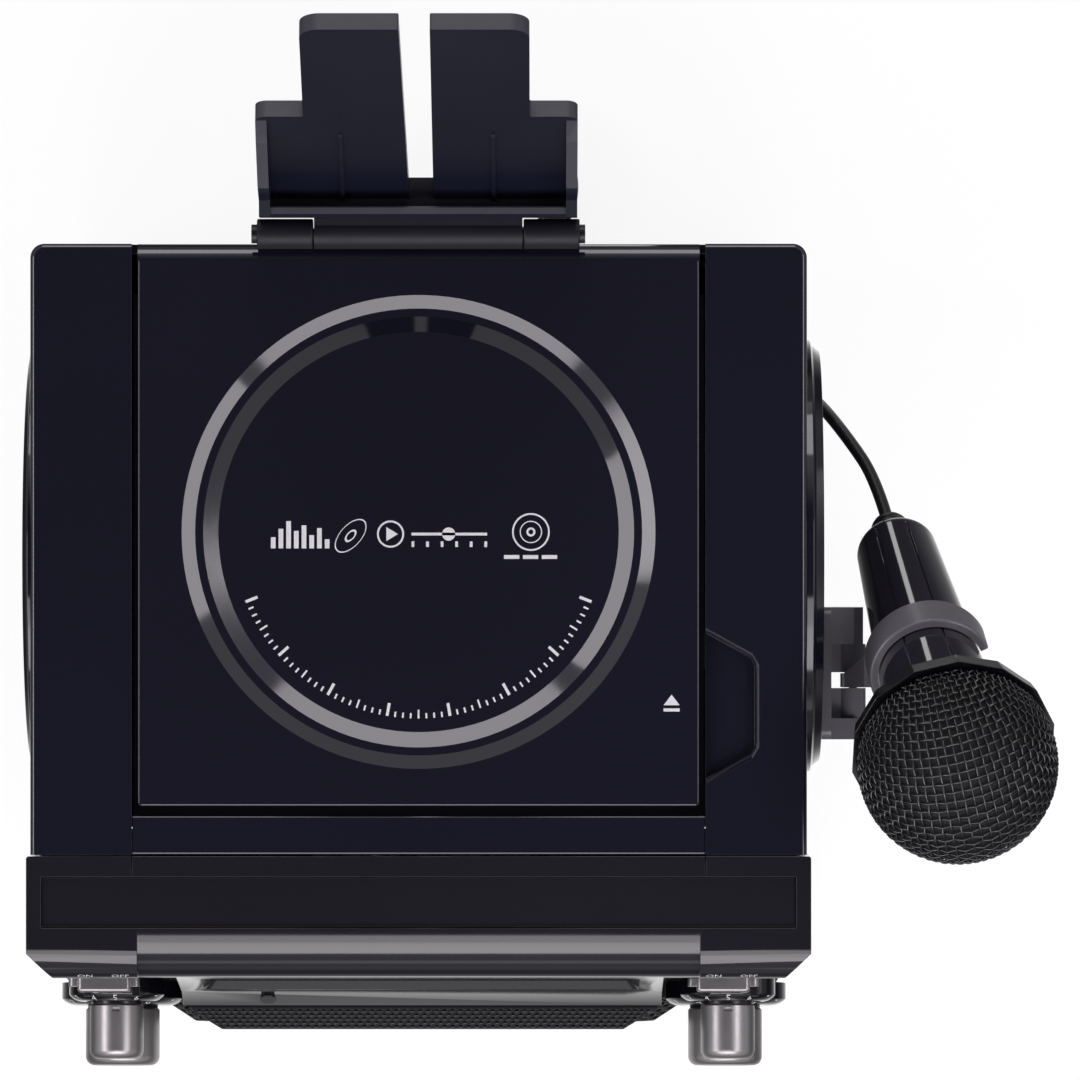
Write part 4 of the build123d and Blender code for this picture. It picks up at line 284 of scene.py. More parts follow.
def finish_of(name, colour, rough, rough_swing=0.15, metal=0.0, clouds=(18.0, 0.18),
              grain=(900.0, 0.3, 0.05, 0.00005), dust=None, ior=1.5):
    """A moulded, painted or metal finish: cloudy colour and roughness, grain and pale dust.

    Clouds are (scale, contrast), grain (scale, waviness, strength, distance) and dust (scale, size, colour).
    """
    made = bpy.data.materials.new(name)
    made.use_nodes = True
    tree = made.node_tree
    shader = tree.nodes["Principled BSDF"]
    shader.inputs["Metallic"].default_value = metal
    shader.inputs["IOR"].default_value = ior

    def placed(group, **values):
        node = tree.nodes.new("ShaderNodeGroup")
        node.node_tree = GROUPS[group]
        for key, value in values.items():
            node.inputs[key].default_value = value
        return node

    cloud = placed("mottle", Scale=clouds[0], Contrast=clouds[1])
    tint = tree.nodes.new("ShaderNodeVectorMath")
    tint.operation = "SCALE"
    tint.inputs[0].default_value = colour
    tree.links.new(cloud.outputs["Value"], tint.inputs["Scale"])
    shade = tint.outputs["Vector"]
    smear = placed("mottle", Scale=clouds[0] * 2.7, Contrast=rough_swing)
    roughness = math_node(tree, "MULTIPLY", smear.outputs["Value"], rough)
    if dust:
        specks = placed("dust", Scale=dust[0], Size=dust[1])
        mix = tree.nodes.new("ShaderNodeMix")
        mix.data_type = "RGBA"
        tree.links.new(specks.outputs["Mask"], mix.inputs["Factor"])
        tree.links.new(shade, mix.inputs["A"])
        mix.inputs["B"].default_value = (*dust[2], 1)
        shade = mix.outputs["Result"]
        roughness = math_node(tree, "ADD", roughness, math_node(tree, "MULTIPLY", specks.outputs["Mask"], 0.5))
    tree.links.new(shade, shader.inputs["Base Color"])
    tree.links.new(roughness, shader.inputs["Roughness"])
    height = placed("grain", Scale=grain[0], Waviness=grain[1])
    bump = tree.nodes.new("ShaderNodeBump")
    bump.inputs["Strength"].default_value = grain[2]
    bump.inputs["Distance"].default_value = grain[3]
    tree.links.new(height.outputs["Height"], bump.inputs["Height"])
    tree.links.new(bump.outputs["Normal"], shader.inputs["Normal"])
    return made


CORD_R = 1.85
LIE_Z = CORD_R + 0.25
mic_rim = np.array([152.0, -37.6, 312.0])
mic_axis = np.array([-13.4, 56.7, -88.0])
mic_axis = mic_axis / np.linalg.norm(mic_axis)
MIC_LEN = 105.6
RELIEF_LEN = 12.4
cord_start = mic_rim + mic_axis * (MIC_LEN + RELIEF_LEN)
cord_run = [
    cord_start,
    cord_start + mic_axis * 24.0,
    (126.4, 50.8, 176.0),
    (119.2, 60.6, 156.0),
    (115.0, 65.0, 130.0),
    (114.7, 66.0, 98.0),
    (114.6, 66.4, 64.0),
    (114.6, 67.6, 33.0),
    (114.6, 72.0, LIE_Z),
    (114.6, 109.8, LIE_Z),
    (82.0, 110.0, LIE_Z),
    (54.0, 111.0, LIE_Z),
]
# Ten turns in two columns, up the inside and down the outside. A turn's points lie a little
# outside it, because the spline cuts inside them.
COIL = (24.5, 131.0)
COIL_COLUMNS = {"outer": 20.35, "inner": 16.65}
COIL_START = -76.0
TURN_POINTS = 12
turn_plan = [("outer", 0), ("inner", 0), ("inner", 1), ("inner", 2), ("inner", 3), ("inner", 4),
             ("outer", 4), ("outer", 3), ("outer", 2), ("outer", 1)]
steps = np.arange(TURN_POINTS * len(turn_plan) - 1)
turn = steps // TURN_POINTS
share = np.clip((steps % TURN_POINTS - (TURN_POINTS - 4)) / 4, 0, 1)
radius = np.array([COIL_COLUMNS[column] for column, _ in turn_plan])
level = np.array([layer for _, layer in turn_plan], float)
after = np.minimum(turn + 1, len(turn_plan) - 1)
coil_r = (radius[turn] * (1 - share) + radius[after] * share) / math.cos(math.pi / TURN_POINTS)
coil_z = LIE_Z + 2 * CORD_R * (level[turn] * (1 - share) + level[after] * share)
coil_a = math.radians(COIL_START) - steps * 2 * math.pi / TURN_POINTS
coil_points = np.stack([COIL[0] + coil_r * np.cos(coil_a), COIL[1] + coil_r * np.sin(coil_a), coil_z], 1)
PLUG_TAIL = np.array([-1.0, 113.4, LIE_Z + 2 * CORD_R])
PLUG_AXIS = np.array([-1.0, -0.044, 0.0]) / math.hypot(1.0, 0.044)
cord_tail = [(19.5, 111.4, PLUG_TAIL[2]), PLUG_TAIL - PLUG_AXIS * 10, PLUG_TAIL]
cord_points = np.concatenate([np.array(cord_run, float), coil_points, np.array(cord_tail, float)]) * MM
cord_curve = bpy.data.curves.new("microphone_cord", "CURVE")
cord_curve.dimensions = "3D"
cord_curve.bevel_depth = CORD_R * MM
cord_curve.bevel_resolution = 5
cord_curve.use_fill_caps = True
line = cord_curve.splines.new("NURBS")
line.points.add(len(cord_points) - 1)
line.points.foreach_set("co", np.column_stack([cord_points, np.ones(len(cord_points))]).ravel())
line.order_u = 3
line.use_endpoint_u = True
line.resolution_u = 8
cord = bpy.data.objects.new("microphone_cord", cord_curve)
bpy.context.scene.collection.objects.link(cord)
cord_skin = finish_of("cord_pvc", (0.0065, 0.0065, 0.009), 0.42, grain=(1500.0, 0.2, 0.2, 0.00003))
cord_curve.materials.append(cord_skin)
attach(cord, "machine")
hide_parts("mic_cord", "mic_cord_coil", "mic_cord_end")


# ---- Moulded cabinet, bezel and decks: piano-black styrene with fine dust on its polished faces.
# All but the left cap keep their solids' shape, with the small rounding that a mould leaves.
body_of = {node: body for body, nodes in frame["record"]["behaviour"]["bodies"].items() for node in nodes}


def dressed(node, material, bevel=0.0, sharp=20.0, parts=2):
    """A merged copy of a CAD node: doubles joined, flat faces made whole, sharp edges bevelled."""
    work = bmesh.new()
    work.from_mesh(frame["nodes"][node].data)
    bmesh.ops.remove_doubles(work, verts=work.verts, dist=2e-6)
    bmesh.ops.dissolve_limit(work, angle_limit=math.radians(0.3), verts=work.verts, edges=work.edges)
    shell = bpy.data.meshes.new(node + "_skin")
    work.to_mesh(shell)
    work.free()
    shell.shade_smooth()
    shell.set_sharp_from_angle(angle=math.radians(sharp))
    piece = bpy.data.objects.new(node + "_skin", shell)
    bpy.context.scene.collection.objects.link(piece)
    shell.materials.append(material)
    if bevel:
        edge = piece.modifiers.new("mould_edge", "BEVEL")
        edge.width = bevel * MM
        edge.segments = parts
        edge.limit_method = "ANGLE"
        edge.angle_limit = math.radians(sharp)
        edge.use_clamp_overlap = True
        edge.miter_outer = "MITER_ARC"
    even = piece.modifiers.new("even_faces", "WEIGHTED_NORMAL")
    even.weight = 100
    even.keep_sharp = True
    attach(piece, body_of[node])
    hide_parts(node)
    return piece


def paint(node, material):
    """A CAD node that keeps its own mesh and gets this material in every slot."""
    shape = frame["nodes"][node].data
    if not shape.materials:
        shape.materials.append(material)
    for index in range(len(shape.materials)):
        shape.materials[index] = material


piano_black = finish_of("piano_black", (0.0082, 0.0083, 0.0165), 0.09, rough_swing=0.35, clouds=(9.0, 0.12),
                        grain=(260.0, 0.75, 0.12, 0.00004), dust=(620.0, 0.035, (0.045, 0.045, 0.055)), ior=1.56)
bezel_black = finish_of("bezel_black", (0.0120, 0.0113, 0.0158), 0.10, rough_swing=0.35, clouds=(11.0, 0.2),
                        grain=(260.0, 0.75, 0.12, 0.00004), dust=(640.0, 0.035, (0.05, 0.05, 0.055)), ior=1.56)
paint("top_deck", piano_black)
for node in ("cabinet_shell", "side_cap_left", "side_cap_right"):
    dressed(node, piano_black, bevel=0.2)
# The left cap is drawn at half its solid's depth; the solid and its collision stand further out
CABINET_X = 111.0
CAP_SQUASH = 0.5
thin_cap = bpy.data.objects["side_cap_left_skin"].data
places = np.empty(len(thin_cap.vertices) * 3)
thin_cap.vertices.foreach_get("co", places)
places[::3] = -CABINET_X * MM + (places[::3] + CABINET_X * MM) * CAP_SQUASH
thin_cap.vertices.foreach_set("co", places)
for node in ("front_bezel", "top_insert", "centre_fascia"):
    dressed(node, bezel_black, bevel=0.25)


# ---- Disc lid: one polished moulding with a round groove, a barrel along its rear edge and
# pale printed signs on the round middle.
lid_black = finish_of("lid_black", (0.0086, 0.0086, 0.0168), 0.075, rough_swing=0.4, clouds=(9.0, 0.12),
                      grain=(220.0, 0.8, 0.14, 0.00004), dust=(700.0, 0.035, (0.045, 0.045, 0.055)), ior=1.56)
dressed("disc_lid", lid_black, bevel=0.3, sharp=15.0, parts=3)
TOP_Z = 300.0
DISC_Y = 22.9
PRINT_Z = TOP_Z + 0.06
print_white = finish_of("print_white", (0.66, 0.66, 0.68), 0.45, clouds=(300.0, 0.12),
                        grain=(2000.0, 0.1, 0.1, 0.00002))
ink_points, ink_faces = [], []


def ink(points, faces):
    """Adds one figure's points and faces to the lid's ink."""
    start = len(ink_points)
    ink_points.extend(points)
    ink_faces.extend([[start + corner for corner in face] for face in faces])


def bar(x, y, w, h):
    """A rectangle of ink from its lower left corner."""
    ink([(x, y), (x + w, y), (x + w, y + h), (x, y + h)], [[0, 1, 2, 3]])


def ring(x, y, outer, inner, count=40, turn=0.0, squeeze=1.0, start=0.0, sweep=360.0):
    """A ring or arc: outer and inner points at even angles, squeezed along one axis and then turned."""
    closed = sweep >= 360.0
    a = np.radians(start + np.linspace(0, sweep, count + (0 if closed else 1), endpoint=not closed))
    unit = np.stack([np.cos(a), np.sin(a) * squeeze], 1)
    c, s = math.cos(math.radians(turn)), math.sin(math.radians(turn))
    unit = unit @ np.array([[c, s], [-s, c]])
    both = np.concatenate([unit * outer, unit * inner]) + (x, y)
    n = len(unit)
    last = n if closed else n - 1
    ink(both.tolist(), [[k, (k + 1) % n, n + (k + 1) % n, n + k] for k in range(last)])


def wedge(corners):
    """A filled figure from its corners, anticlockwise."""
    ink(corners, [list(range(len(corners)))])


# Level bars beside a tilted disc
for step, tall in enumerate((3.2, 5.6, 7.8, 5.0, 6.6, 3.8, 5.8, 2.6)):
    bar(-42.2 + step * 2.2, 18.2, 1.35, tall)
ring(-19.4, 21.8, 5.9, 5.5, turn=48, squeeze=0.52)
ring(-19.4, 21.8, 2.2, 1.5, turn=48, squeeze=0.52, count=24)
# Play mark in a round badge, with a progress line
ring(-8.0, 22.3, 3.9, 3.35)
wedge([(-9.2, 20.3), (-5.9, 22.3), (-9.2, 24.3)])
bar(-2.0, 21.9, 21.6, 0.8)
ring(8.6, 22.3, 1.9, 0.0001, count=24)
for step in range(6):
    bar(-2.0 + step * 4.16, 18.6, 0.8, 1.6)
# A disc with two rings over three short lines
ring(32.1, 22.9, 5.4, 4.9)
ring(32.1, 22.9, 3.2, 2.9, count=32)
ring(32.1, 22.9, 1.3, 0.7, count=24)
for step in range(3):
    bar(24.4 + step * 5.4, 15.2, 4.4, 1.1)
# A scale of ticks along the front of the round middle
TICKS, TICK_END_R = 57, 53.3
for step in range(TICKS):
    a = math.radians(-158.0 + 136.0 * step / (TICKS - 1))
    long = 3.7 if step % 8 == 0 else (2.5 if step % 4 == 0 else 1.5)
    half = 0.42 if step % 8 == 0 else 0.26
    near, far = TICK_END_R - long, TICK_END_R
    c, s = math.cos(a), math.sin(a)
    wedge([(near * c + half * s, DISC_Y + near * s - half * c), (far * c + half * s, DISC_Y + far * s - half * c),
           (far * c - half * s, DISC_Y + far * s + half * c), (near * c - half * s, DISC_Y + near * s + half * c)])
# An opening mark beside the finger recess
wedge([(70.0, -26.6), (74.6, -26.6), (72.3, -23.6)])
bar(70.0, -28.4, 4.6, 0.9)
sign_points = np.concatenate([np.array(ink_points, float), np.full((len(ink_points), 1), PRINT_Z)], 1) * MM
sign_ink = bpy.data.meshes.new("lid_signs")
sign_ink.from_pydata(sign_points.tolist(), [], ink_faces)
sign_ink.materials.append(print_white)
lid_signs = bpy.data.objects.new("lid_signs", sign_ink)
bpy.context.scene.collection.objects.link(lid_signs)
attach(lid_signs, "lid")


# ---- Front columns' signs: ON and OFF printed over each slide switch, on the lower part of
# the round front edge.
SIDE_EDGE_R = 9.5
FRONT_Y = -105.0
LETTER_STRETCH, LETTER_SIZE, LETTER_RISE = 1.25, 2.3, 24.0
INK_T = 0.05


def roll_text(words, name, across, rise, size):
    """Printed letters wrapped on the round front edge: a letter's height becomes arc length on it."""
    font = bpy.data.curves.new(name, "FONT")
    font.body = words
    font.size = size * MM
    font.align_x = "CENTER"
    font.align_y = "CENTER"
    font.resolution_u = 4
    holder = bpy.data.objects.new(name + "_flat", font)
    flat = bpy.data.meshes.new_from_object(holder)
    bpy.data.objects.remove(holder)
    points = np.empty(len(flat.vertices) * 3)
    flat.vertices.foreach_get("co", points)
    points = points.reshape(-1, 3)
    angle = math.radians(rise) + points[:, 1] / (SIDE_EDGE_R * MM)
    r = (SIDE_EDGE_R + INK_T) * MM
    centre_y, centre_z = (FRONT_Y + SIDE_EDGE_R) * MM, (TOP_Z - SIDE_EDGE_R) * MM
    x = points[:, 0] * LETTER_STRETCH + across * MM
    wrapped = np.stack([x, centre_y - r * np.cos(angle), centre_z + r * np.sin(angle)], 1)
    flat.vertices.foreach_set("co", wrapped.ravel())
    flat.materials.append(print_white)
    piece = bpy.data.objects.new(name, flat)
    bpy.context.scene.collection.objects.link(piece)
    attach(piece, "machine")


for side, label in ((-90.0, "left"), (90.0, "right")):
    roll_text("ON", f"switch_on_{label}", side - 5.5, LETTER_RISE, LETTER_SIZE)
    roll_text("OFF", f"switch_off_{label}", side + 4.5, LETTER_RISE, LETTER_SIZE)


# ---- Knobs: turned caps with a dark metallic lacquer, a rounded rim and a cut pointer notch.
# They stand on the slanted columns over the domed dials.
FACE_TOP_Z = 256.0
FACE_TILT = 4.06
FACE_SLOPE = math.tan(math.radians(FACE_TILT))
COLUMN_X = 90.0
DIAL_DOME = 6.8
gunmetal = finish_of("gunmetal_lacquer", (0.30, 0.287, 0.292), 0.34, rough_swing=0.2, metal=0.8, clouds=(60.0, 0.14),
                     grain=(3200.0, 0.04, 0.34, 0.00003), dust=(2400.0, 0.16, (0.22, 0.22, 0.22)))
for name in ("knob_upper_left", "knob_upper_right", "knob_lower_left", "knob_lower_right"):
    dressed(name, gunmetal, bevel=0.15)


# ---- Dials: glossy black rings with a rounded brow under the knobs, each with a printed scale
# of plain numbers and ticks.
dial_black = finish_of("dial_black", (0.0035, 0.0035, 0.006), 0.07, clouds=(30.0, 0.2),
                       grain=(300.0, 0.7, 0.08, 0.00003), ior=1.56)
dressed("dial_rings", dial_black, bevel=0.2)
RING_EDGE_T = 4.8
SMALL_KNOB_Z, LARGE_KNOB_Z = 205.0, 160.0
SMALL_DIAL_R, LARGE_DIAL_R = 14.0, 18.2
SMALL_PRINT, LARGE_PRINT = 3.0, 3.6


def seat_frame(across, height):
    """Origin and three unit vectors of a column's slanted face at a place: across, up the face, and out of it."""
    origin = np.array([across, FRONT_Y - (FACE_TOP_Z - height) * FACE_SLOPE, height])
    out = np.array([0.0, -1.0, FACE_SLOPE]) / math.hypot(1.0, FACE_SLOPE)
    right = np.array([1.0, 0.0, 0.0])
    return origin, right, np.cross(out, right), out


def placed_on(local, seat):
    """Local points (across, up, out) carried to a seat: its origin plus each coordinate along its unit vector."""
    origin, right, up, out = seat
    return origin + local[..., :1] * right + local[..., 1:2] * up + local[..., 2:3] * out


def brow_circle(ring_r):
    """Centre (radius, height) and radius of the circle through the brow's three points.

    The centre is where the perpendicular bisectors of its two chords meet.
    """
    a, b, c = np.array([(ring_r, RING_EDGE_T), (0.9 * ring_r, 0.9 * DIAL_DOME), (0.7 * ring_r, DIAL_DOME)])
    centre = np.linalg.solve(2 * np.stack([b - a, c - b]), [b @ b - a @ a, c @ c - b @ b])
    return centre, np.linalg.norm(a - centre)


def scale_mark(words, angle, ring_r, size, share):
    """A printed figure wrapped on the brow.

    Its height becomes radius and its width becomes angle, and each point takes the height of the
    brow's circle at its radius, plus the ink's thickness.
    """
    font = bpy.data.curves.new("dial_figure", "FONT")
    font.body = words
    font.size = size
    font.align_x = "CENTER"
    font.align_y = "CENTER"
    font.resolution_u = 3
    holder = bpy.data.objects.new("dial_figure", font)
    flat = bpy.data.meshes.new_from_object(holder)
    points = np.empty(len(flat.vertices) * 3)
    flat.vertices.foreach_get("co", points)
    points = points.reshape(-1, 3)
    faces = [list(face.vertices) for face in flat.polygons]
    bpy.data.objects.remove(holder)
    bpy.data.curves.remove(font)
    bpy.data.meshes.remove(flat)
    r = share * ring_r + points[:, 1]
    turn = math.radians(angle) - points[:, 0] / (share * ring_r)
    centre, radius = brow_circle(ring_r)
    rise = centre[1] + np.sqrt(np.maximum(radius ** 2 - (r - centre[0]) ** 2, 0)) + INK_T
    return np.stack([r * np.cos(turn), r * np.sin(turn), rise], 1), faces


figure_points, figure_faces, figure_start = [], [], 0
for across, height, ring_r, size in (
    (-COLUMN_X, SMALL_KNOB_Z, SMALL_DIAL_R, SMALL_PRINT), (COLUMN_X, SMALL_KNOB_Z, SMALL_DIAL_R, SMALL_PRINT),
    (-COLUMN_X, LARGE_KNOB_Z, LARGE_DIAL_R, LARGE_PRINT), (COLUMN_X, LARGE_KNOB_Z, LARGE_DIAL_R, LARGE_PRINT),
):
    for step in range(11):
        angle = 240 - 30 * step
        for words, big, share in ((str(step), size, 0.90), ("|", size * 0.5, 0.76)):
            points, faces = scale_mark(words, angle, ring_r, big, share)
            figure_points.append(placed_on(points, seat_frame(across, height)))
            figure_faces.extend([[figure_start + corner for corner in face] for face in faces])
            figure_start += len(points)
dial_print = bpy.data.meshes.new("dial_figures")
dial_print.from_pydata((np.concatenate(figure_points) * MM).tolist(), [], figure_faces)
dial_print.materials.append(print_white)
dial_figures = bpy.data.objects.new("dial_figures", dial_print)
bpy.context.scene.collection.objects.link(dial_figures)
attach(dial_figures, "machine")


# ---- Knob skirts: short black tubes on the knobs' backs, which close the gap over the dials.
# Their black stands for the shadow in that gap, a painted shade. Each is moulded with its knob and turns with it.
KNOB_GAP = 0.8
SKIRT_CLEAR, SKIRT_REACH, SKIRT_IN, SKIRT_BORE_IN = 0.05, 0.3, 0.55, 2.0
SMALL_KNOB_R, LARGE_KNOB_R = 7.95, 11.0
satin_black = finish_of("satin_black", (0.006, 0.006, 0.009), 0.30, clouds=(24.0, 0.2),
                        grain=(1100.0, 0.25, 0.22, 0.00004))


def skin(name, grids, material, body, nodes=(), sharp=35.0):
    """One mesh from grids of points (rows, columns, 3) in millimetres.

    Every grid closes round its columns, and rings that shrink to a point are merged.
    """
    points, faces, start = [], [], 0
    for grid in grids:
        rows, columns = grid.shape[:2]
        index = start + np.arange(rows * columns).reshape(rows, columns)
        index = np.hstack([index, index[:, :1]])
        faces.append(np.stack([index[:-1, :-1], index[:-1, 1:], index[1:, 1:], index[1:, :-1]], -1).reshape(-1, 4))
        points.append(grid.reshape(-1, 3))
        start += rows * columns
    shell = bpy.data.meshes.new(name)
    shell.from_pydata((np.concatenate(points) * MM).tolist(), [], np.concatenate(faces).tolist())
    work = bmesh.new()
    work.from_mesh(shell)
    bmesh.ops.remove_doubles(work, verts=work.verts, dist=1e-7)
    bmesh.ops.recalc_face_normals(work, faces=work.faces)
    work.to_mesh(shell)
    work.free()
    shell.shade_smooth()
    shell.set_sharp_from_angle(angle=math.radians(sharp))
    shell.materials.append(material)
    piece = bpy.data.objects.new(name, shell)
    bpy.context.scene.collection.objects.link(piece)
    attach(piece, body)
    if nodes:
        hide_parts(*nodes)


def lathe(profile, count):
    """A profile of (radius, height) pairs turned about the third axis: x = r cos a, y = r sin a, z = h."""
    profile = np.asarray(profile, float)
    a = np.linspace(0, 2 * math.pi, count, endpoint=False)
    x = profile[:, :1] * np.cos(a)
    y = profile[:, :1] * np.sin(a)
    z = np.repeat(profile[:, 1:], count, 1)
    return np.stack([x, y, z], -1)


for name, across, height, knob_r in (
    ("knob_upper_left", -COLUMN_X, SMALL_KNOB_Z, SMALL_KNOB_R),
    ("knob_upper_right", COLUMN_X, SMALL_KNOB_Z, SMALL_KNOB_R),
    ("knob_lower_left", -COLUMN_X, LARGE_KNOB_Z, LARGE_KNOB_R),
    ("knob_lower_right", COLUMN_X, LARGE_KNOB_Z, LARGE_KNOB_R),
):
    low, high = DIAL_DOME + SKIRT_CLEAR, DIAL_DOME + KNOB_GAP + SKIRT_REACH
    outer, inner_r = knob_r - SKIRT_IN, knob_r - SKIRT_BORE_IN
    skirt = lathe([(outer, low), (outer, high), (inner_r, high), (inner_r, low), (outer, low)], 64)
    skirt = placed_on(skirt, seat_frame(across, height))
    # The skirt's satin black is painted shade for the gap between knob and dial
    skin(name.replace("knob", "skirt"), [skirt], satin_black, body_of[name])


# ---- Slide switches: a moulded cap with side lugs, in the knobs' metallic lacquer. Each slides along
# a satin black plate on its column.
for node in ("switch_cap_left", "switch_cap_right"):
    dressed(node, gunmetal, bevel=0.7, parts=3)
dressed("switch_plates", satin_black, bevel=0.15)


# ---- Display and receiver windows: polished panes of smoked acrylic, let into the front. Both are
# dark, as with the power off.
smoked = finish_of("smoked_acrylic", (0.004, 0.004, 0.007), 0.12, clouds=(12.0, 0.3),
                   grain=(200.0, 0.9, 0.05, 0.00003), ior=1.3)
dressed("display_window", smoked, bevel=0.15)
dressed("infrared_window", smoked, bevel=0.2)


# ---- Speaker grille: a steel sheet punched with staggered round holes, pressed forward inside a
# sloping border, bent back round its edge and painted black.
GRILLE_LOW_Z, GRILLE_TOP_Z = 62.0, 201.0
GRILLE_EDGE = 1.2
GRILLE_RIM_Y, GRILLE_FRONT_Y = -117.8, -124.35
GRILLE_SLOPE = 10.0
grille_black = finish_of("grille_paint", (0.010, 0.010, 0.013), 0.34, metal=0.1, clouds=(30.0, 0.25),
                         grain=(1600.0, 0.2, 0.35, 0.00004))
grille_low, grille_high = GRILLE_LOW_Z + GRILLE_EDGE, GRILLE_TOP_Z - GRILLE_EDGE
slope_len = math.hypot(GRILLE_SLOPE, GRILLE_RIM_Y - GRILLE_FRONT_Y)
ROWS, CELLS = 62, 60
HOLE_U, HOLE_V = 0.335, 0.385
OUTER_TOL = 0.05
SHOULDER_Z, HALF_W = (134.0, 143.0), (80.2, 70.5)
RIM_BACK_Y = -116.8
SHEET_T = 0.9


def grille_half(height):
    """Half the grille's width at a height: wide below, a slope over the shoulder, then the neck."""
    return np.interp(height, SHOULDER_Z, np.array(HALF_W) - GRILLE_EDGE)


def inset_of(run):
    """How far in from the edge a point lies after a run over the surface.

    On the sloping border it is the run times the border's width over its length, and past the
    border it grows as much as the run does.
    """
    return np.where(run < slope_len, run * GRILLE_SLOPE / slope_len, run - slope_len + GRILLE_SLOPE)


def grille_place(u, v):
    """Sheet coordinates (-1..1 across, 0..1 up), even along the bent surface, to a point.

    The depth grows evenly over the border with the inset from the nearest edge, and then stays.
    """
    tall = grille_high - grille_low + 2 * (slope_len - GRILLE_SLOPE)
    from_low, from_high = inset_of(v * tall), inset_of((1 - v) * tall)
    z = np.where(v < 0.5, grille_low + from_low, grille_high - from_high)
    half = grille_half(z)
    from_side = inset_of((1 - np.abs(u)) * (half + slope_len - GRILLE_SLOPE))
    x = np.sign(u) * (half - from_side)
    inside = np.minimum(np.minimum(from_side, from_low), from_high)
    y = GRILLE_RIM_Y + (GRILLE_FRONT_Y - GRILLE_RIM_Y) * np.clip(inside / GRILLE_SLOPE, 0, 1)
    return np.stack([x, y, z], -1)


# Each cell of the sheet is a ring of eight faces between its square brim and its hole
hole_a = np.radians([180, 225, 270, 315, 0, 45, 90, 135])
hole = np.stack([HOLE_U * np.cos(hole_a), HOLE_V * np.sin(hole_a)], 1)
brim = np.array([
    (-0.5, 0.0), (-0.5, -0.5), (0.0, -0.5), (0.5, -0.5), (0.5, 0.0), (0.5, 0.5), (0.0, 0.5), (-0.5, 0.5),
])
row, cell = np.meshgrid(np.arange(ROWS), np.arange(CELLS), indexing="ij")
shift = np.where(row % 2 == 0, 0.0, 0.5)
centre_u = (cell + 0.5 + shift - 0.25) / CELLS * 2 - 1
centre_v = (row + 0.5) / ROWS
cell_u = 2.0 / CELLS
ring_u = centre_u[..., None, None] + np.stack([brim[:, 0], hole[:, 0]], 0) * cell_u
ring_v = centre_v[..., None, None] + np.stack([brim[:, 1], hole[:, 1]], 0) / ROWS
ring_u = np.clip(ring_u, -1, 1)
points = grille_place(ring_u, ring_v)
count = ROWS * CELLS
index = np.arange(count * 16).reshape(count, 2, 8)
follow = np.roll(index, -1, 2)
faces = np.stack([index[:, 0], follow[:, 0], follow[:, 1], index[:, 1]], -1).reshape(-1, 4)
grille_mesh = bpy.data.meshes.new("grille_sheet")
grille_mesh.from_pydata((points.reshape(-1, 3) * MM).tolist(), [], faces.tolist())
# The bent rim behind the sheet's edge
work = bmesh.new()
work.from_mesh(grille_mesh)
bmesh.ops.remove_doubles(work, verts=work.verts, dist=1e-6)
bmesh.ops.dissolve_degenerate(work, edges=work.edges, dist=1e-7)
outer = [edge for edge in work.edges if edge.is_boundary and all(
    min(grille_half(v.co.z * 1000) - abs(v.co.x * 1000), v.co.z * 1000 - grille_low, grille_high - v.co.z * 1000)
    < OUTER_TOL
    for v in edge.verts)]
skirt = bmesh.ops.extrude_edge_only(work, edges=outer)
for item in skirt["geom"]:
    if isinstance(item, bmesh.types.BMVert):
        item.co.y = RIM_BACK_Y * MM
work.to_mesh(grille_mesh)
work.free()
grille_mesh.shade_smooth()
grille_mesh.set_sharp_from_angle(angle=math.radians(40))
grille_mesh.materials.append(grille_black)
grille = bpy.data.objects.new("grille_sheet", grille_mesh)
bpy.context.scene.collection.objects.link(grille)
gauge = grille.modifiers.new("gauge", "SOLIDIFY")
gauge.thickness = SHEET_T * MM
gauge.offset = -1
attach(grille, "machine")
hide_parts("speaker_grille")


# ---- Microphone head: woven steel wire over dark foam, pressed to a ball and lacquered black. Two
# families of wires cross, and each wire goes over and under the others in turn.
mic_side = np.cross(mic_axis, (0.0, 0.0, 1.0))
mic_side = mic_side / np.linalg.norm(mic_side)
mic_up = np.cross(mic_side, mic_axis)
MIC_BALL_R = 28.7
MIC_BALL_S = -10.0


def on_mic(local):
    """Local points (side, up, along) carried to the microphone: its rim plus each along its unit vector."""
    return mic_rim + local[..., :1] * mic_side + local[..., 1:2] * mic_up + local[..., 2:3] * mic_axis


WIRES = 38
WIRE_R = 0.29
WEAVE_R = MIC_BALL_R - 0.62
WEAVE_END, WAVE_H = 104.0, 0.30
reach = WEAVE_R * math.radians(WEAVE_END)
pitch = 2 * reach / WIRES
offsets = (np.arange(WIRES) - (WIRES - 1) / 2) * pitch
STATIONS = 150
WIRE_SIDES = 5
wire_points, wire_faces = [], []
corner = np.arange(WIRE_SIDES) * 2 * math.pi / WIRE_SIDES
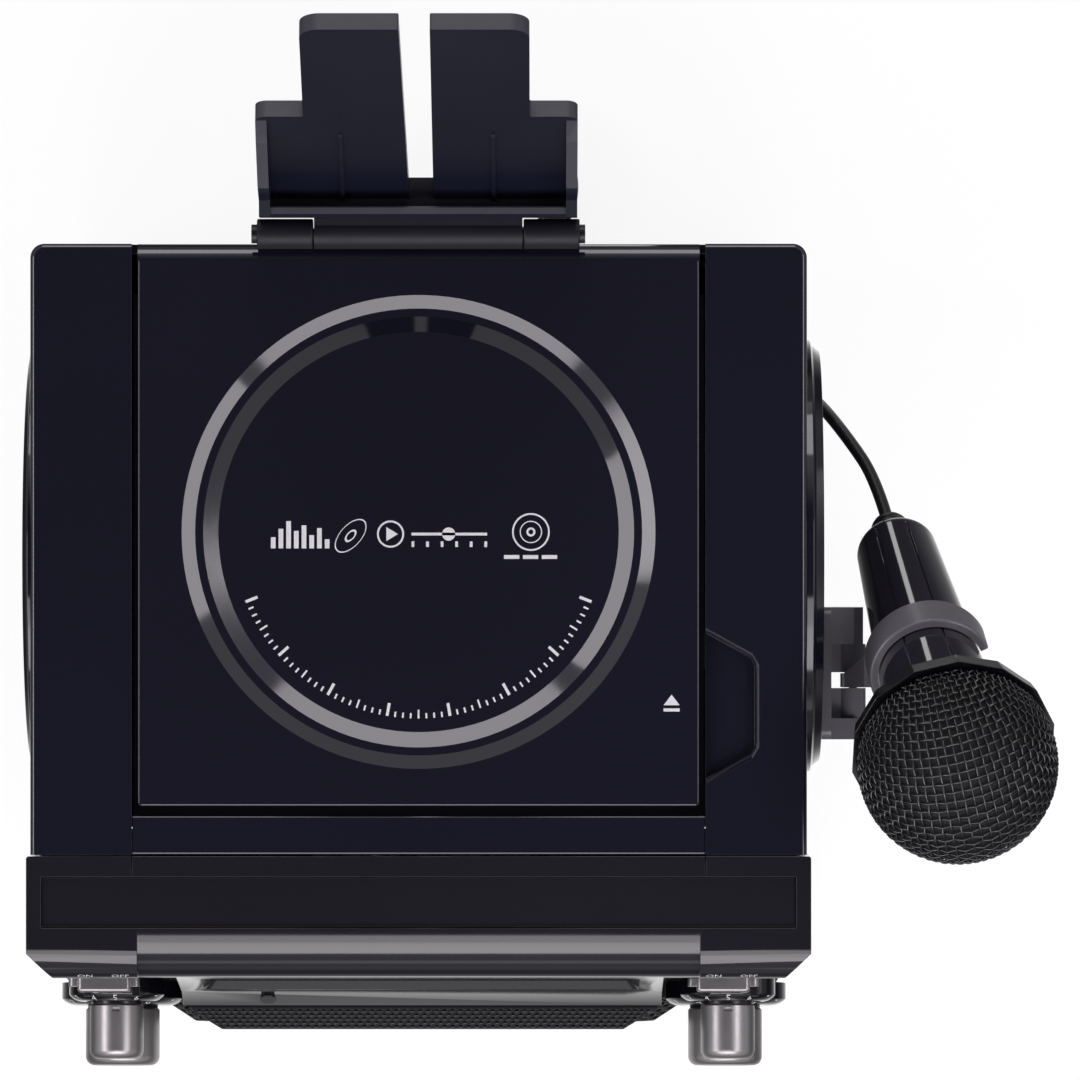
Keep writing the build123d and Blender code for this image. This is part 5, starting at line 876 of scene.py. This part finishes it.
# A wire lies on the ball by its arc distances from the pole (rho = arc, theta = rho / radius), its
# height over the ball is a cosine along it, and its skin is a small circle carried along that path
for family in (0, 1):
    span = np.sqrt(np.maximum(reach ** 2 - offsets ** 2, 0))
    t = np.linspace(-1, 1, STATIONS)
    along = span[:, None] * t
    u = np.repeat(offsets[:, None], STATIONS, 1)
    sign = np.where((np.arange(WIRES) + family) % 2 == 0, 1.0, -1.0)[:, None]
    wave = sign * WAVE_H * np.cos(math.pi * (along - offsets[0]) / pitch)
    a, b = (u, along) if family == 0 else (along, u)
    rho = np.hypot(a, b)
    theta = rho / WEAVE_R
    ratio = np.where(rho > 1e-9, np.sin(theta) / np.maximum(rho, 1e-9), 1 / WEAVE_R)
    radial = np.stack([a * ratio, b * ratio, -np.cos(theta)], -1)
    middle = radial * (WEAVE_R + wave)[..., None]
    run = np.gradient(middle, axis=1)
    run = run / np.linalg.norm(run, axis=-1, keepdims=True)
    sideways = np.cross(run, radial)
    sideways = sideways / np.linalg.norm(sideways, axis=-1, keepdims=True)
    lift = np.cross(sideways, run)
    round_wire = np.cos(corner)[:, None] * sideways[:, :, None] + np.sin(corner)[:, None] * lift[:, :, None]
    tube = middle[:, :, None] + WIRE_R * round_wire
    tube[..., 2] += MIC_BALL_S
    start = sum(len(block) for block in wire_points)
    index = start + np.arange(WIRES * STATIONS * WIRE_SIDES).reshape(WIRES, STATIONS, WIRE_SIDES)
    beside = np.roll(index, -1, 2)
    wire_faces.append(np.stack([index[:, :-1], beside[:, :-1], beside[:, 1:], index[:, 1:]], -1).reshape(-1, 4))
    wire_points.append(on_mic(tube).reshape(-1, 3))
weave = bpy.data.meshes.new("mic_weave")
weave.from_pydata((np.concatenate(wire_points) * MM).tolist(), [], np.concatenate(wire_faces).tolist())
work = bmesh.new()
work.from_mesh(weave)
bmesh.ops.recalc_face_normals(work, faces=work.faces)
work.to_mesh(weave)
work.free()
weave.shade_smooth()
wire_black = finish_of("wire_lacquer", (0.010, 0.010, 0.013), 0.26, clouds=(80.0, 0.3),
                       grain=(2400.0, 0.3, 0.2, 0.00002), ior=1.65)
weave.materials.append(wire_black)
mic_weave = bpy.data.objects.new("mic_weave", weave)
bpy.context.scene.collection.objects.link(mic_weave)
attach(mic_weave, "microphone")
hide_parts("mic_grille")
foam = finish_of("foam_black", (0.0016, 0.0016, 0.0022), 0.85, clouds=(120.0, 0.4), grain=(700.0, 0.3, 0.9, 0.0005))
FOAM_R = 27.3
ball = np.radians(np.linspace(-90, 12, 30))
foam_ball = np.stack([FOAM_R * np.cos(ball), MIC_BALL_S + FOAM_R * np.sin(ball)], 1)
foam_profile = np.concatenate([foam_ball, [(20.0, -4.0), (0, -4.0)]])
foam_profile[0, 0] = 0
skin("mic_foam", [on_mic(lathe(foam_profile, 72))], foam, "microphone")


# ---- Microphone body: gloss black tube with two fine grooves along its top, a faceted collar
# round the head, a slide switch and a ribbed rubber relief at its tail.
mic_gloss = finish_of("mic_gloss", (0.0270, 0.0250, 0.0360), 0.08, clouds=(14.0, 0.15),
                      grain=(240.0, 0.8, 0.08, 0.00003), dust=(700.0, 0.03, (0.04, 0.04, 0.05)), ior=1.56)
mic_satin = finish_of("mic_satin", (0.0045, 0.0045, 0.0065), 0.22, clouds=(20.0, 0.2),
                      grain=(900.0, 0.3, 0.15, 0.00003))
HANDLE_HEAD_R, HANDLE_CLIP_R, HANDLE_TAIL_R, CUP_S, CLIP_S = 16.2, 14.9, 11.8, 20.0, 43.0
LINE_TURN, LINE_W, LINE_D = 22.0, 0.6, 0.5
MOUTH_TURN, SWITCH_S, SWITCH_R = -40.0, 66.0, 12.4
FLAT_HALF_L, FLAT_HALF_W = 6.0, 4.0
TAIL_R = 5.0
SMOOTH = 20
# The tube's radius runs in straight steps along it, rounded by a running mean, and a quarter circle
# closes its tail
s = np.linspace(CUP_S + 0.2, MIC_LEN - TAIL_R, 170)
r = np.interp(s, [CUP_S, CUP_S + 8, CLIP_S, MIC_LEN - TAIL_R],
              [HANDLE_HEAD_R, HANDLE_HEAD_R - 0.5, HANDLE_CLIP_R, HANDLE_TAIL_R])
window = 2 * SMOOTH + 1
r = np.convolve(np.pad(r, SMOOTH, mode="reflect", reflect_type="odd"), np.ones(window) / window, "valid")
tail = np.radians(np.linspace(0, 90, 12))
profile = np.concatenate([
    [(0, CUP_S), (HANDLE_HEAD_R - 0.4, CUP_S)],
    np.stack([r, s], 1),
    np.stack([r[-1] - TAIL_R + TAIL_R * np.cos(tail[1:]), MIC_LEN - TAIL_R + TAIL_R * np.sin(tail[1:])], 1),
    [(0, MIC_LEN)],
])
# Columns crowd together at the two sunk lines, so that their walls are crisp
plain = np.arange(0, 360, 2.0)
crowd = np.array([-2.2, -1.5, -1.25, -1.0, -0.5, 0.0, 0.5, 1.0, 1.25, 1.5, 2.2])
near_lines = np.concatenate([90 - LINE_TURN + crowd, 90 + LINE_TURN + crowd])
columns = np.sort(np.concatenate([plain[np.min(np.abs(plain[:, None] - near_lines), 1) > 0.6], near_lines]))
a = np.radians(columns)[None, :]
profile_r, profile_s = profile[:, :1], profile[:, 1:]
across = np.abs((np.degrees(a) - 90 + LINE_TURN) * math.pi / 180 * profile_r)
across = np.minimum(across, np.abs((np.degrees(a) - 90 - LINE_TURN) * math.pi / 180 * profile_r))
inside = (profile_s > CUP_S + 1.0) & (profile_s < MIC_LEN - TAIL_R)
tube_r = profile_r - LINE_D * np.clip((LINE_W / 2 + 0.05 - across) / 0.1, 0, 1) * inside
# The slider's flat: the wall is cut back to a plane inside a rounded slot
off = a - math.radians(MOUTH_TURN + 360)
aside = tube_r * np.sin(off)
slot_gap = np.hypot(np.maximum(np.abs(profile_s - SWITCH_S) - FLAT_HALF_L, 0), aside)
flat_r = np.minimum(tube_r, SWITCH_R / np.maximum(np.cos(off), 0.5))
tube_r = np.where((slot_gap < FLAT_HALF_W) & (np.cos(off) > 0.5), flat_r, tube_r)
tube = np.stack([tube_r * np.cos(a), tube_r * np.sin(a), np.repeat(profile_s, len(columns), 1)], -1)
skin("mic_tube", [on_mic(tube)], mic_gloss, "microphone", nodes=("mic_handle",), sharp=50.0)
dressed("mic_rim", mic_satin, bevel=0.3, sharp=14.0)
# The relief: a bulb with even grooves, rounded down to the cord by an ellipse over its last part
BULB_R, RIBS, GROOVE_D, BULB_ROUND, BULB_CLOSE = 5.7, 5.5, 0.32, 0.30, 0.85
RELIEF_SINK = 2.0
bulb = np.linspace(0, 1, 58)
bulb_s = MIC_LEN - RELIEF_SINK + (RELIEF_LEN + RELIEF_SINK) * bulb
grooves = np.cos(2 * math.pi * bulb * RIBS) < -0.35
ending = np.clip((bulb - (1 - BULB_ROUND)) / BULB_ROUND, 0, 1)
bulb_r = BULB_R * np.sqrt(1 - BULB_CLOSE * ending ** 2) - GROOVE_D * grooves
bulb_profile = np.concatenate([[(0, bulb_s[0])], np.stack([bulb_r, bulb_s], 1), [(0, bulb_s[-1])]])
skin("mic_relief_bulb", [on_mic(lathe(bulb_profile, 48))], cord_skin, "microphone",
     nodes=("mic_relief",))
dressed("mic_switch", satin_black, bevel=0.2)
paint("mic_capsule", foam)


# ---- Microphone holder: a bracket on the side cap, and an open ring on an arm that springs round the
# handle. Both are moulded in dark grey satin plastic, and a pin joins them. The ring's paler grey is painted sheen,
# standing for the lamps' broad reflection on it.
clip_black = finish_of("clip_black", (0.140, 0.136, 0.154), 0.36, clouds=(30.0, 0.2),
                       grain=(500.0, 0.4, 0.14, 0.00004), ior=1.56)
# The ring's paler copy of the bracket's grey is a painted sheen of the lamps
clip_painted_sheen = finish_of("clip_painted_sheen", (0.165, 0.160, 0.180), 0.34, clouds=(30.0, 0.2),
                      grain=(500.0, 0.4, 0.14, 0.00004), ior=1.56)
dressed("mic_bracket", clip_black, bevel=0.3)
dressed("mic_clip", clip_painted_sheen, bevel=0.25, sharp=30.0)


# ---- Tablet cradle: a matt base across the rear wall and a smoother forked tray that leans back,
# both moulded in black. The tray folds forwards on its hinge barrel.
cradle_black = finish_of("cradle_black", (0.0075, 0.0082, 0.0175), 0.30, rough_swing=0.3, clouds=(14.0, 0.2),
                         grain=(420.0, 0.45, 0.20, 0.00005), dust=(640.0, 0.03, (0.04, 0.04, 0.05)), ior=1.18)
# A paler copy of the tray's black: a painted highlight for the faces that the lamps light
cradle_painted_highlight = finish_of("cradle_painted_highlight", (0.047, 0.047, 0.060), 0.42, clouds=(30.0, 0.25),
                        grain=(700.0, 0.35, 0.15, 0.00004))
cradle_matt = finish_of("cradle_matt", (0.0060, 0.0063, 0.0110), 0.5, clouds=(30.0, 0.25),
                        grain=(700.0, 0.35, 0.2, 0.00004), ior=1.35)
tray_skin = dressed("cradle_tray", cradle_black, bevel=0.4).data
# The rims that look up and the side walls' front edges take a paler copy of the black, a painted highlight where the
# lamps fall on them, and the hinge barrel is matt
tray_skin.materials.append(cradle_painted_highlight)
tray_skin.materials.append(cradle_matt)
CRADLE_WALL_X, RIM_LOW_Z, BARREL_TOP_Z = 42.5, 311.5, 310.5
facing = np.empty(len(tray_skin.polygons) * 3)
tray_skin.polygons.foreach_get("normal", facing)
facing = facing.reshape(-1, 3)
middles = np.empty(len(tray_skin.polygons) * 3)
tray_skin.polygons.foreach_get("center", middles)
middles = middles.reshape(-1, 3)
looks_up = (facing[:, 2] > 0.3) & (facing[:, 1] > -0.05) & (middles[:, 2] > RIM_LOW_Z * MM)
wall_edge = (np.abs(middles[:, 0]) > CRADLE_WALL_X * MM) & (facing[:, 1] < -0.5) & (facing[:, 2] > 0.3)
barrel = middles[:, 2] < BARREL_TOP_Z * MM
tray_skin.polygons.foreach_set("material_index", np.where(barrel, 2, looks_up | wall_edge).astype(np.int32))
dressed("cradle_base", cradle_matt, bevel=0.4)


# ---- Small pieces: rubber feet, a satin rear panel held by steel screws, black hinge pins, steel
# guide rods, dark plastic sockets and the cord's jack plug.
rubber = finish_of("rubber", (0.018, 0.018, 0.018), 0.72, clouds=(60.0, 0.3), grain=(900.0, 0.4, 0.5, 0.0001))
steel = finish_of("plated_steel", (0.55, 0.55, 0.54), 0.28, metal=1.0, clouds=(90.0, 0.12),
                  grain=(1800.0, 0.2, 0.15, 0.00003))
inner = finish_of("inner_plastic", (0.030, 0.030, 0.034), 0.5, clouds=(26.0, 0.2), grain=(1000.0, 0.3, 0.35, 0.00006))
paint("rubber_feet", rubber)
dressed("rear_panel", satin_black, bevel=0.2)
paint("rear_screws", steel)
pin_black = finish_of("pin_black", (0.006, 0.006, 0.008), 0.4, metal=0.3)
paint("hinge_pins", pin_black)
paint("guide_rods", steel)
paint("rear_sockets", inner)
paint("microphone_sockets", inner)
paint("mic_plug", satin_black)


# ---- Buttons in the chin: five round moulded caps in the knobs' metallic lacquer. Each is pressed in
# on its own against a spring.
for step in range(1, 6):
    dressed(f"button_{step}", gunmetal, bevel=0.15)


# ---- Works inside: a disc drive of pale acetal and dark plastic with its lens and motors, green
# circuit boards, a steel transformer and controls, and a speaker with a paper cone.
glass = finish_of("lens_glass", (0.08, 0.10, 0.22), 0.04, clouds=(200.0, 0.3),
                  grain=(400.0, 0.5, 0.02, 0.00001), ior=1.6)
white = finish_of("white_acetal", (0.62, 0.61, 0.57), 0.42, clouds=(40.0, 0.08), grain=(900.0, 0.3, 0.15, 0.00004))
board = finish_of("board_green", (0.018, 0.11, 0.05), 0.35, clouds=(120.0, 0.35), grain=(700.0, 0.2, 0.3, 0.00008))
paper_cone = finish_of("cone_paper", (0.022, 0.022, 0.022), 0.8, clouds=(80.0, 0.35), grain=(420.0, 0.2, 0.8, 0.0003))
for node, material in (
    ("turntable", white), ("clamp_puck", white), ("drive_chassis", inner), ("pickup_sled", inner),
    ("pickup_lens", glass), ("sled_pinion", white), ("drive_motors", steel), ("switch_bodies", inner),
    ("front_boards", board), ("main_board", board), ("potentiometers", steel), ("power_transformer", steel),
    ("speaker_basket", steel), ("speaker_cone", paper_cone),
):
    paint(node, material)

low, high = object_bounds()
